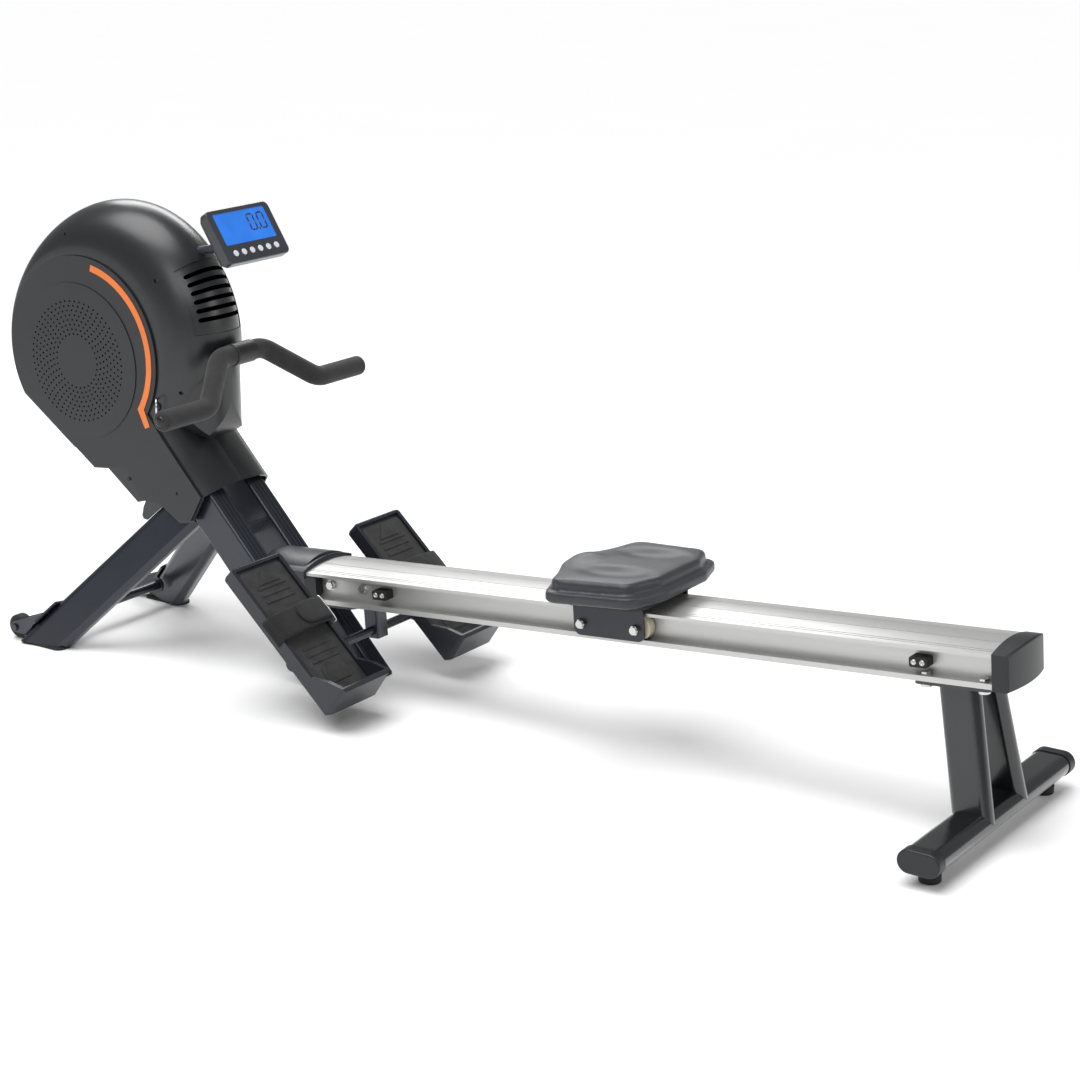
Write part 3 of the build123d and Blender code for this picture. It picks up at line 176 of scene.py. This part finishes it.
def woven(name, colour, pitch, along, across, rough=0.85, sheen=0.4):
    """Webbing or woven cloth: ribs across and threads along, from two waves in object space."""
    m = material(name, colour, rough, grain=2600, bump=0.2, vary=0.25, blotch=40, sheen=sheen)
    t = m.node_tree
    n, link = t.nodes, t.links
    where = n["Texture Coordinate"]
    heights = []
    for direction in (along, across):
        dot = n.new("ShaderNodeVectorMath")
        dot.operation = "DOT_PRODUCT"
        dot.inputs[1].default_value = direction
        link.new(where.outputs["Object"], dot.inputs[0])
        turn = n.new("ShaderNodeMath")
        turn.operation = "MULTIPLY"
        turn.inputs[1].default_value = 2 * math.pi / pitch
        link.new(dot.outputs["Value"], turn.inputs[0])
        sine = n.new("ShaderNodeMath")
        sine.operation = "SINE"
        link.new(turn.outputs["Value"], sine.inputs[0])
        heights.append(sine)
    weave = n.new("ShaderNodeMath")
    weave.operation = "ADD"
    link.new(heights[0].outputs["Value"], weave.inputs[0])
    link.new(heights[1].outputs["Value"], weave.inputs[1])
    relief = n.new("ShaderNodeBump")
    relief.inputs["Strength"].default_value = 0.6
    relief.inputs["Distance"].default_value = pitch * 0.25
    link.new(weave.outputs["Value"], relief.inputs["Height"])
    link.new(n["Bump"].outputs["Normal"], relief.inputs["Normal"])
    link.new(relief.outputs["Normal"], n["Principled BSDF"].inputs["Normal"])
    return m


def display_material():
    """Backlit blue display: a glossy, slightly uneven blue that gives off some light of its own."""
    m = material("display_glass", (0.010, 0.135, 0.56), 0.12, grain=60, bump=0.0, vary=0.12, blotch=22,
                 coat=1.0, coat_rough=0.03, rough_vary=0.02)
    s = m.node_tree.nodes["Principled BSDF"]
    ramp = m.node_tree.nodes["Color Ramp"]
    m.node_tree.links.new(ramp.outputs["Color"], s.inputs["Emission Color"])
    s.inputs["Emission Strength"].default_value = 0.55
    return m


def split_line(m):
    """Darkens a hairline SEAM_HALF to each side of Y = 0, where the two shell halves meet."""
    n, link = m.node_tree.nodes, m.node_tree.links
    s = n["Principled BSDF"]
    apart = n.new("ShaderNodeSeparateXYZ")
    link.new(n["Texture Coordinate"].outputs["Object"], apart.inputs["Vector"])
    away = n.new("ShaderNodeMath")
    away.operation = "ABSOLUTE"
    link.new(apart.outputs["Y"], away.inputs[0])
    near = n.new("ShaderNodeMath")
    near.operation = "LESS_THAN"
    near.inputs[1].default_value = SEAM_HALF
    link.new(away.outputs["Value"], near.inputs[0])
    mix = n.new("ShaderNodeMix")
    mix.data_type = "RGBA"
    mix.inputs["B"].default_value = (0.001, 0.001, 0.001, 1)
    link.new(near.outputs["Value"], mix.inputs["Factor"])
    link.new(n["Color Ramp"].outputs["Color"], mix.inputs["A"])
    link.new(mix.outputs["Result"], s.inputs["Base Color"])


# The rail climbs towards its rear end; its places are given along it and above it, from its front end.
RAIL_X, RAIL_Z = -0.333, 0.155
RAIL_FRONT = Vector((RAIL_X, 0, RAIL_Z))
tilt = math.radians(4.45)
rail_dir = Vector((math.cos(tilt), 0, math.sin(tilt)))
rail_up = Vector((-math.sin(tilt), 0, math.cos(tilt)))
M = {
    "rail": material("anodised_rail", (0.56, 0.56, 0.55), 0.38, 0.70, grain=260, bump=0.10, vary=0.05,
                     stretch=(0.02, 1, 1), depth=0.0002, rough_vary=0.07),
    "frame": material("powder_coat_blue_grey", (0.017, 0.021, 0.033), 0.32, 0.35, grain=1300, bump=0.18,
                      vary=0.18, coat=0.5, coat_rough=0.18, flecks=0.05),
    "rear": material("powder_coat_black", (0.009, 0.010, 0.012), 0.22, 0.3, grain=1500, bump=0.14, vary=0.2,
                     coat=0.8, coat_rough=0.12, flecks=0.10),
    "cover": material("moulded_black", (0.010, 0.011, 0.013), 0.42, grain=1100, bump=0.35, vary=0.15),
    "housing": material("housing_shell", (0.011, 0.012, 0.014), 0.34, grain=1200, bump=0.22, vary=0.15,
                        coat=0.35, coat_rough=0.25),
    "panel": material("housing_panel", (0.009, 0.010, 0.012), 0.40, grain=1200, bump=0.30, vary=0.15,
                      coat=0.2, coat_rough=0.3),
    "orange": material("orange_stripe", (0.83, 0.20, 0.035), 0.38, grain=500, bump=0.04, vary=0.06,
                       blotch=16),
    "steel": material("zinc_steel", (0.62, 0.62, 0.61), 0.28, 1.0, grain=700, bump=0.08, vary=0.10),
    "dark_steel": material("black_oxide", (0.05, 0.05, 0.052), 0.38, 0.9, grain=800, bump=0.1, vary=0.2),
    "rubber": material("pad_rubber", (0.014, 0.014, 0.014), 0.75, grain=800, bump=0.4, vary=0.2),
    "carriage": material("carriage_steel", (0.024, 0.026, 0.033), 0.36, 0.4, grain=1200, bump=0.15,
                         vary=0.15, coat=0.3),
    "nylon": material("roller_nylon", (0.70, 0.63, 0.47), 0.42, grain=500, bump=0.05, vary=0.06),
    "seat": material("seat_skin", (0.021, 0.023, 0.029), 0.42, grain=1500, bump=0.32, vary=0.12, blotch=12,
                     coat=0.12, coat_rough=0.45, sheen=0.08),
    "pedal": material("pedal_plastic", (0.013, 0.015, 0.022), 0.36, grain=1200, bump=0.22, vary=0.15,
                      coat=0.2, coat_rough=0.3),
    "mat": material("foot_mat_rubber", (0.030, 0.029, 0.029), 0.66, grain=420, bump=0.9, vary=0.35, blotch=45,
                    depth=0.0008),
    "inner": material("bare_steel", (0.33, 0.33, 0.34), 0.40, 0.9, grain=500, bump=0.1, vary=0.15),
    "handle": material("handle_black", (0.018, 0.018, 0.019), 0.45, 0.2, grain=1000, bump=0.12, vary=0.15),
    "foam": material("handle_foam", (0.017, 0.017, 0.018), 0.82, grain=650, bump=0.75, vary=0.25,
                     blotch=60, depth=0.0008, sheen=0.15),
    "console": material("console_shell", (0.032, 0.036, 0.045), 0.36, grain=1100, bump=0.18, vary=0.12,
                        coat=0.25, coat_rough=0.25),
    "white": material("button_white", (0.70, 0.72, 0.74), 0.40, grain=600, bump=0.05, vary=0.04),
    "display": display_material(),
    "segment": material("display_segment", (0.008, 0.022, 0.085), 0.3, grain=600, bump=0.02, vary=0.03),
    "chrome": material("ring_chrome", (0.75, 0.75, 0.76), 0.12, 1.0, grain=900, bump=0.02, vary=0.04),
    "belt": material("belt_rubber", (0.02, 0.02, 0.02), 0.7, grain=900, bump=0.4, vary=0.2),
    "webbing": woven("pull_webbing", (0.020, 0.020, 0.022), 0.0028, (1, 0, 0), (0, 1, 0)),
}
split_line(M["housing"])
LOOKS = {
    "rail": "rail", "post": "frame", "front_legs": "frame", "rail_bracket": "frame",
    "pedal_hanger": "frame", "wheel_brackets": "frame", "leg_crossbar": "frame", "bracket_cover": "pedal",
    "rear_legs": "rear", "rear_foot_bar": "rear", "rear_mount_plate": "rear", "rail_end_cap": "cover",
    "channel_plugs": "cover", "rear_foot_caps": "cover", "rail_stops": "rubber", "seat_base": "cover",
    "side_cover_left": "panel", "side_cover_right": "panel", "housing_left": "housing",
    "housing_right": "housing", "accent_stripes": "orange", "rail_bolts": "steel", "rear_bolts": "steel",
    "carriage_axles": "steel", "fan_shafts": "steel", "housing_screws": "dark_steel",
    "front_foot_pads": "rubber", "rear_foot_pads": "rubber", "transport_wheel_left": "rubber",
    "transport_wheel_right": "rubber", "carriage_frame": "carriage", "rollers_front": "nylon",
    "rollers_rear": "nylon", "pedal_left": "pedal", "pedal_right": "pedal", "foot_mat_left": "mat",
    "foot_mat_right": "mat", "flywheel_plates": "inner", "fan_wheel": "inner", "strap_drum": "inner",
    "recoil_spring": "inner", "drive_belt": "belt", "handle_bar": "handle", "handle_sleeve": "handle",
    "console_case": "console", "console_arm": "console", "console_screen": "display",
}
for name, node in nodes.items():
    look = LOOKS.get(name, "white" if name.startswith("console_button") else None)
    if look:
        for slot in node.material_slots:
            slot.material = M[look]


# ---------------------------------------------------------------- mesh helpers
def shade_smooth(mesh):
    for p in mesh.polygons:
        p.use_smooth = True


def new_object(name, verts, faces, look, body):
    """A mesh with its faces turned outwards, riding on a body; with body None the caller places it."""
    mesh = bpy.data.meshes.new(name)
    mesh.from_pydata([tuple(v) for v in verts], [], faces)
    mesh.materials.append(M[look])
    obj = bpy.data.objects.new(name, mesh)
    scene.collection.objects.link(obj)
    bm = bmesh.new()
    bm.from_mesh(mesh)
    bmesh.ops.recalc_face_normals(bm, faces=bm.faces)
    bm.to_mesh(mesh)
    bm.free()
    shade_smooth(mesh)
    if body:
        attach(obj, body)
    return obj


def band(name, path, width_dir, width, thick, look, body, out=None, round_end=False, crown=0.0):
    """A flat strap along a path of points, as a closed, thin solid. width_dir is its width's direction, out
    its upper side's, crown how far its middle stands above its edges. With round_end the strap's last
    stretch narrows to a half circle."""
    verts, faces = [], []
    across = 10
    w = Vector(width_dir).normalized()
    pts = [Vector(p) for p in path]
    lengths = [0.0]
    for a, b in zip(pts, pts[1:]):
        lengths.append(lengths[-1] + (b - a).length)
    total = lengths[-1]
    for i, p in enumerate(pts):
        a, b = pts[max(i - 1, 0)], pts[min(i + 1, len(pts) - 1)]
        up = (b - a).normalized().cross(w).normalized()
        if out is not None and up.dot(Vector(out)) < 0:
            up = -up
        half = width / 2
        left = total - lengths[i]
        if round_end and left < half:
            half *= max(math.sqrt(max(1 - (1 - left / half) ** 2, 0.0)), 0.12)
        for face_side in (-0.5, 0.5):
            for k in range(across + 1):
                f = -1 + 2 * k / across
                edge = 1 - 0.35 * abs(f) ** 8
                verts.append(p + w * (f * half) + up * (face_side * thick * edge + crown * (1 - f * f)))
    row = 2 * (across + 1)
    for i in range(len(pts) - 1):
        for k in range(across):
            a = i * row + k
            faces.append((a, a + 1, a + 1 + row, a + row))
            b = a + across + 1
            faces.append((b, b + row, b + 1 + row, b + 1))
        a, b = i * row, i * row + across + 1
        faces.append((a, a + row, b + row, b))
        a, b = a + across, b + across
        faces.append((a, b, b + row, a + row))
    for i in (0, len(pts) - 1):
        for k in range(across):
            a = i * row + k
            b = a + across + 1
            faces.append((a, b, b + 1, a + 1))
    return new_object(name, verts, faces, look, body)


def smooth_path(points, steps=8):
    """Catmull-Rom through the points."""
    pts = [Vector(p) for p in points]
    pts = [pts[0] * 2 - pts[1]] + pts + [pts[-1] * 2 - pts[-2]]
    line = []
    for i in range(1, len(pts) - 2):
        a, b, c, d = pts[i - 1:i + 3]
        for k in range(steps):
            t = k / steps
            line.append(0.5 * (2 * b + (c - a) * t + (2 * a - 5 * b + 4 * c - d) * t * t
                               + (3 * b - a - 3 * c + d) * t ** 3))
    line.append(pts[-2])
    return line


def lathe(name, centre, axis, profile, look, body, segments=40):
    """A turned piece; profile is a list of (radius, distance along the axis)."""
    centre, axis = Vector(centre), Vector(axis).normalized()
    side = axis.orthogonal().normalized()
    other = axis.cross(side)
    verts, faces = [], []
    for r, h in profile:
        for k in range(segments):
            a = 2 * math.pi * k / segments
            verts.append(centre + axis * h + side * (r * math.cos(a)) + other * (r * math.sin(a)))
    for i in range(len(profile) - 1):
        for k in range(segments):
            a = i * segments + k
            b = i * segments + (k + 1) % segments
            faces.append((a, b, b + segments, a + segments))
    faces.append(tuple(range(segments)))
    faces.append(tuple(range((len(profile) - 1) * segments, len(profile) * segments)))
    return new_object(name, verts, faces, look, body)


def torus_loop(name, points, radius, look, body, sides=10):
    """A closed ring of wire through the points."""
    pts = [Vector(p) for p in points]
    n = len(pts)
    normal = sum(((pts[i] - pts[0]).cross(pts[(i + 1) % n] - pts[0]) for i in range(n)),
                 Vector()).normalized()
    verts, faces = [], []
    for i, p in enumerate(pts):
        along = (pts[(i + 1) % n] - pts[i - 1]).normalized()
        out = along.cross(normal).normalized()
        for k in range(sides):
            a = 2 * math.pi * k / sides
            verts.append(p + out * (radius * math.cos(a)) + normal * (radius * math.sin(a)))
    for i in range(n):
        for k in range(sides):
            a, b = i * sides + k, i * sides + (k + 1) % sides
            c, d = ((i + 1) % n) * sides + k, ((i + 1) % n) * sides + (k + 1) % sides
            faces.append((a, b, d, c))
    return new_object(name, verts, faces, look, body)


def box_piece(name, centre, axes, sizes, bevel, look, body):
    """A small box with rounded edges, placed by three axes."""
    centre = Vector(centre)
    bm = bmesh.new()
    bmesh.ops.create_cube(bm, size=1)
    for v in bm.verts:
        v.co = centre + sum((Vector(axes[i]) * (v.co[i] * sizes[i]) for i in range(3)), Vector())
    bmesh.ops.bevel(bm, geom=list(bm.edges), offset=bevel, segments=3, affect="EDGES")
    mesh = bpy.data.meshes.new(name)
    bm.to_mesh(mesh)
    bm.free()
    mesh.materials.append(M[look])
    obj = bpy.data.objects.new(name, mesh)
    scene.collection.objects.link(obj)
    shade_smooth(mesh)
    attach(obj, body)
    return obj


# ---------------------------------------------------------------- seat
CLOTH_FRAMES = 10
CLOTH_MOST = 0.0025     # the furthest that the cloth may move a point of the cushion
CLOTH_LOST = 0.05       # a point that moved further than this has come loose, and stays where it was
FADE_START, FADE_OVER = 0.016, 0.010    # shaping starts this far under the top and is full after this much
HOLLOW_DEPTH, HOLLOW_SIDE, HOLLOW_BACK = 0.0085, 0.060, 0.008
HOLLOW_SIZE, HOLLOW_RIM = (0.026, 0.056), 1.6
RIDGE_HEIGHT, RIDGE_FRONT, RIDGE_SIZE = 0.008, 0.078, (0.026, 0.030)
DIP_DEPTH, DIP_SIDE, DIP_FRONT, DIP_SIZE = 0.004, 0.088, 0.100, (0.042, 0.026)


def rail_point(s, h, y):
    """The point s along the rail, h above it and y to the side."""
    return RAIL_FRONT + rail_dir * s + rail_up * h + Vector((0, y, 0))


def mound(across, along, size, rim=1.0):
    """1 in the middle, 0 well outside; size is its half width and half length, and a larger rim makes it
    flatter in the middle and steeper round it."""
    return math.exp(-((across / size[0]) ** 2 + (along / size[1]) ** 2) ** rim)


def seat_cushion():
    """The moulded seat: a copy of its solid, remeshed, swollen a little by cloth, then pressed into shape."""
    source = nodes["seat_pad"]
    mesh = source.data.copy()
    pad = bpy.data.objects.new("seat_cushion", mesh)
    scene.collection.objects.link(pad)
    mesh.materials.clear()
    mesh.materials.append(M["seat"])
    bpy.context.view_layer.objects.active = pad
    pad.select_set(True)
    remesh = pad.modifiers.new("remesh", "REMESH")
    remesh.mode = "VOXEL"
    remesh.voxel_size = 0.003
    bpy.ops.object.modifier_apply(modifier="remesh")
    start = [v.co.copy() for v in mesh.vertices]
    cloth = pad.modifiers.new("cloth", "CLOTH")
    cloth.settings.use_pressure = True
    cloth.settings.uniform_pressure_force = 3
    cloth.settings.effector_weights.gravity = 0
    cloth.settings.tension_stiffness = 40
    cloth.settings.compression_stiffness = 40
    cloth.settings.bending_stiffness = 8
    for number in range(1, CLOTH_FRAMES + 1):
        scene.frame_set(number)
    grown = pad.evaluated_get(bpy.context.evaluated_depsgraph_get()).to_mesh()
    moved = [v.co.copy() for v in grown.vertices]
    pad.modifiers.remove(cloth)
    scene.frame_set(1)
    for v, a, b in zip(mesh.vertices, start, moved):
        step = b - a
        if step.length < CLOTH_LOST:
            v.co = a + step * min(1.0, CLOTH_MOST / max(step.length, 1e-9))
        else:
            v.co = a
    # Two sitting hollows, a ridge between them at the front and a dip to each side of the ridge.
    for v in mesh.vertices:
        s = (v.co - RAIL_FRONT).dot(rail_dir)
        h = (v.co - RAIL_FRONT).dot(rail_up)
        y = v.co.y
        top = max(0.0, min(1.0, (h - SEAT_TOP + FADE_START) / FADE_OVER))
        hollow = sum(mound(y - side * HOLLOW_SIDE, s - (SEAT_MIDDLE + HOLLOW_BACK), HOLLOW_SIZE, HOLLOW_RIM)
                     for side in (-1, 1))
        ridge = mound(y, s - SEAT_MIDDLE + RIDGE_FRONT, RIDGE_SIZE)
        dip = sum(mound(y - side * DIP_SIDE, s - SEAT_MIDDLE + DIP_FRONT, DIP_SIZE) for side in (-1, 1))
        v.co += rail_up * (top * (-HOLLOW_DEPTH * hollow + RIDGE_HEIGHT * ridge - DIP_DEPTH * dip))
    smooth = pad.modifiers.new("smooth", "SMOOTH")
    smooth.factor = 0.5
    smooth.iterations = 2
    bpy.ops.object.modifier_apply(modifier="smooth")
    shade_smooth(mesh)
    pad.modifiers.new("finer", "SUBSURF").levels = 1
    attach(pad, "carriage")
    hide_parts("seat_pad")


seat_low, seat_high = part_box("seat_pad")
corner = Vector((seat_high[0], 0, seat_high[2])) - RAIL_FRONT
SEAT_MIDDLE = ((Vector(((seat_low[0] + seat_high[0]) / 2, 0, 0)) - Vector((RAIL_X, 0, 0))).dot(rail_dir)
               + (seat_high[2] - RAIL_Z) * math.sin(tilt))
SEAT_TOP = corner.dot(rail_up)
seat_cushion()


# ---------------------------------------------------------------- foot plates: straps, rings
lean = math.radians(43)
plate_dir = Vector((math.cos(lean), 0, -math.sin(lean)))
plate_out = Vector((math.sin(lean), 0, math.cos(lean)))
FOOT_HINGE = Vector((-0.22505, 0, 0.10824))
PLATE_TOE = FOOT_HINGE - plate_dir * 0.195 + plate_out * 0.018
STRAP_MIDDLE = 0.133
STRAP_WIDTH = 0.050
FLAP_LESS, TAB_LESS = 0.006, 0.008      # how much narrower the flap and the tab are than the loop
STRAP_ARCH = 0.017
RING_POINTS = 48
RING_HALF_LONG, RING_HALF_WIDE = 0.0275, 0.0060
for side, word in ((-1, "left"), (1, "right")):
    body = "foot_plate_" + word
    webbing = woven("foot_webbing_" + word, (0.007, 0.007, 0.008), 0.0018, tuple(plate_dir), (0, 1, 0),
                    sheen=0.08)
    M["strap_" + word] = webbing

    def plate_point(along, out, y):
        return PLATE_TOE + plate_dir * along + plate_out * out + Vector((0, side * y, 0))

    route = [(0.2352, -0.016), (0.2352, -0.006), (0.2348, 0.0035), (0.228, 0.0095), (0.205, 0.0150),
             (0.170, STRAP_ARCH), (0.136, 0.0150), (0.114, 0.0100), (0.1052, 0.0035)]
    lower = band("foot_strap_loop_" + word,
                 smooth_path([plate_point(STRAP_MIDDLE, out, y) for y, out in route], 6),
                 plate_dir, STRAP_WIDTH, 0.0022, "strap_" + word, body, out=plate_out, crown=0.0006)
    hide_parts("foot_strap_" + word)
    folded = [(0.1046, 0.0040), (0.110, 0.0128), (0.126, 0.0172), (0.146, 0.0198), (0.166, 0.0212),
              (0.186, 0.0206)]
    flap = band("foot_strap_flap_" + word,
                smooth_path([plate_point(STRAP_MIDDLE - 0.003, out, y) for y, out in folded], 8),
                plate_dir, STRAP_WIDTH - FLAP_LESS, 0.0024, "strap_" + word, body, out=plate_out,
                round_end=True, crown=0.0010)
    inner = [(0.1042, 0.0050), (0.1035, 0.0010), (0.1032, -0.006), (0.1032, -0.016)]
    tail_piece = band("foot_strap_tab_" + word,
                      smooth_path([plate_point(STRAP_MIDDLE, out, y) for y, out in inner], 6),
                      plate_dir, STRAP_WIDTH - TAB_LESS, 0.0022, "strap_" + word, body, out=plate_out)
    ring_points = []
    for k in range(RING_POINTS):
        a = 2 * math.pi * k / RING_POINTS
        x = RING_HALF_LONG * math.copysign(abs(math.cos(a)) ** 0.35, math.cos(a))
        z = RING_HALF_WIDE * math.copysign(abs(math.sin(a)) ** 0.55, math.sin(a))
        ring_points.append(plate_point(STRAP_MIDDLE + x, 0.0045 + z, 0.1038 - z * 0.35))
    ring = torus_loop("strap_ring_" + word, ring_points, 0.0013, "chrome", body)

# ---------------------------------------------------------------- pull strap
PULL_Z = 0.570
PULL_WIDTH = 0.024
pull = band("pull_strap_webbing",
            smooth_path([(-0.585, 0, 0.5730), (-0.572, 0, 0.5715), (-0.560, 0, 0.5705), (-0.550, 0, PULL_Z),
                         (-0.541, 0, PULL_Z), (-0.533, 0, PULL_Z), (-0.526, 0, PULL_Z)], 5),
            (0, 1, 0), PULL_WIDTH, 0.0022, "webbing", None, out=(0, 0, 1))
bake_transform(pull)
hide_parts("pull_strap")

# ---------------------------------------------------------------- hand grips
grip_source = nodes["handle_grips"]
grips = bpy.data.objects.new("foam_grips", grip_source.data.copy())
scene.collection.objects.link(grips)
grips.data.materials.clear()
grips.data.materials.append(M["foam"])
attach(grips, "pull_handle")
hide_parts("handle_grips")

# ---------------------------------------------------------------- small hardware
STOP_ALONG = (0.166, 1.188)     # the stop blocks' middles along the rail
STOP_ABOVE, STOP_FACE = 0.028, 0.062
SCREW_SHIFT = 0.007
HOOK_ACROSS, HOOK_UP = 0.0135, 0.0165
HOOK_POINTS = 40
for s in STOP_ALONG:
    for side in (-1, 1):
        for shift in (-SCREW_SHIFT, SCREW_SHIFT):
            head = rail_point(s + shift, STOP_ABOVE, side * STOP_FACE)
            lathe("stop_screw_%d_%s_%s" % (s * 1000, "l" if side < 0 else "r", "a" if shift < 0 else "b"),
                  head, (0, side, 0),
                  [(0.0046, -0.001), (0.0046, 0.0008), (0.0040, 0.0018), (0.0024, 0.0022), (0.0022, 0.0006)],
                  "steel", "frame", 24)

for side, word in ((-1, "left"), (1, "right")):
    lathe("grip_end_cap_" + word, (-0.467, side * 0.2695, 0.505), (0, side, 0),
          [(0.0100, -0.004), (0.0100, 0.0012), (0.0086, 0.0030), (0.0056, 0.0042), (0.0012, 0.0047)],
          "dark_steel", "pull_handle", 32)
    loop = []
    for k in range(HOOK_POINTS):
        a = 2 * math.pi * k / HOOK_POINTS
        loop.append(Vector((-0.637, side * 0.0965, 0.473))
                    + Vector((0.62, side * 0.78, 0)) * (HOOK_ACROSS * math.cos(a))
                    + Vector((0, 0, 1)) * (HOOK_UP * math.sin(a)))
    torus_loop("handle_hook_" + word, loop, 0.0017, "chrome", "frame")
    lathe("hook_boss_" + word, (-0.644, side * 0.086, 0.472), (0, side, 0),
          [(0.0080, 0), (0.0080, 0.0040), (0.0066, 0.0056), (0.0020, 0.0060)], "cover", "frame", 32)

# ---------------------------------------------------------------- display
lean_back = math.radians(32.4)
face_up = Vector((-math.sin(lean_back), 0, math.cos(lean_back)))
face_out = Vector((math.cos(lean_back), 0, math.sin(lean_back)))
face_right = Vector((0, 1, 0))
face_middle = Vector((-0.49233, 0, 0.78806))


FACE_AXES = (face_right, face_up, face_out)
DIGIT_RIGHT = (0.022, 0.048)
DIGIT_UP = 0.018
POINT_RIGHT = 0.035
DIGIT_WIDTH, DIGIT_HALF = 0.0150, 0.0148    # between upright bars' middles; from middle to a flat bar's
BAR_FLAT, BAR_TALL = 0.0120, 0.0130
BAR_WIDE, BAR_THICK, BAR_BEVEL = 0.0032, 0.0003, 0.0001
BAR_OUT = -0.0008                           # a bar's middle from face_middle, along face_out
# Each bar of a nought: how far right and up of the digit's middle, and whether it lies flat.
BARS = {"top": (0, 1, True), "low": (0, -1, True), "ur": (0.5, 0.5, False), "ul": (-0.5, 0.5, False),
        "lr": (0.5, -0.5, False), "ll": (-0.5, -0.5, False)}


def on_face(right, up, out):
    return face_middle + face_right * right + face_up * up + face_out * out


for place, right in enumerate(DIGIT_RIGHT):
    for key, (dx, dz, flat) in BARS.items():
        size = (BAR_FLAT, BAR_WIDE, BAR_THICK) if flat else (BAR_WIDE, BAR_TALL, BAR_THICK)
        box_piece("digit_%d_%s" % (place, key),
                  on_face(right + dx * DIGIT_WIDTH, DIGIT_UP + dz * DIGIT_HALF, BAR_OUT),
                  FACE_AXES, size, BAR_BEVEL, "segment", "console")
box_piece("digit_point", on_face(POINT_RIGHT, DIGIT_UP - DIGIT_HALF, BAR_OUT), FACE_AXES,
          (BAR_WIDE, BAR_WIDE, BAR_THICK), BAR_BEVEL, "segment", "console")

# ---------------------------------------------------------------- floor
FAR = 90
floor_mesh = bpy.data.meshes.new("floor")
floor_mesh.from_pydata([(-FAR, -FAR, 0), (FAR, -FAR, 0), (FAR, FAR, 0), (-FAR, FAR, 0)], [], [(0, 1, 2, 3)])
M["floor"] = material("pale_floor", (0.93, 0.93, 0.93), 0.75, grain=60, bump=0.02, vary=0.004, blotch=1.5,
                      specular=0.2)
floor_mesh.materials.append(M["floor"])
floor = bpy.data.objects.new("floor", floor_mesh)
scene.collection.objects.link(floor)
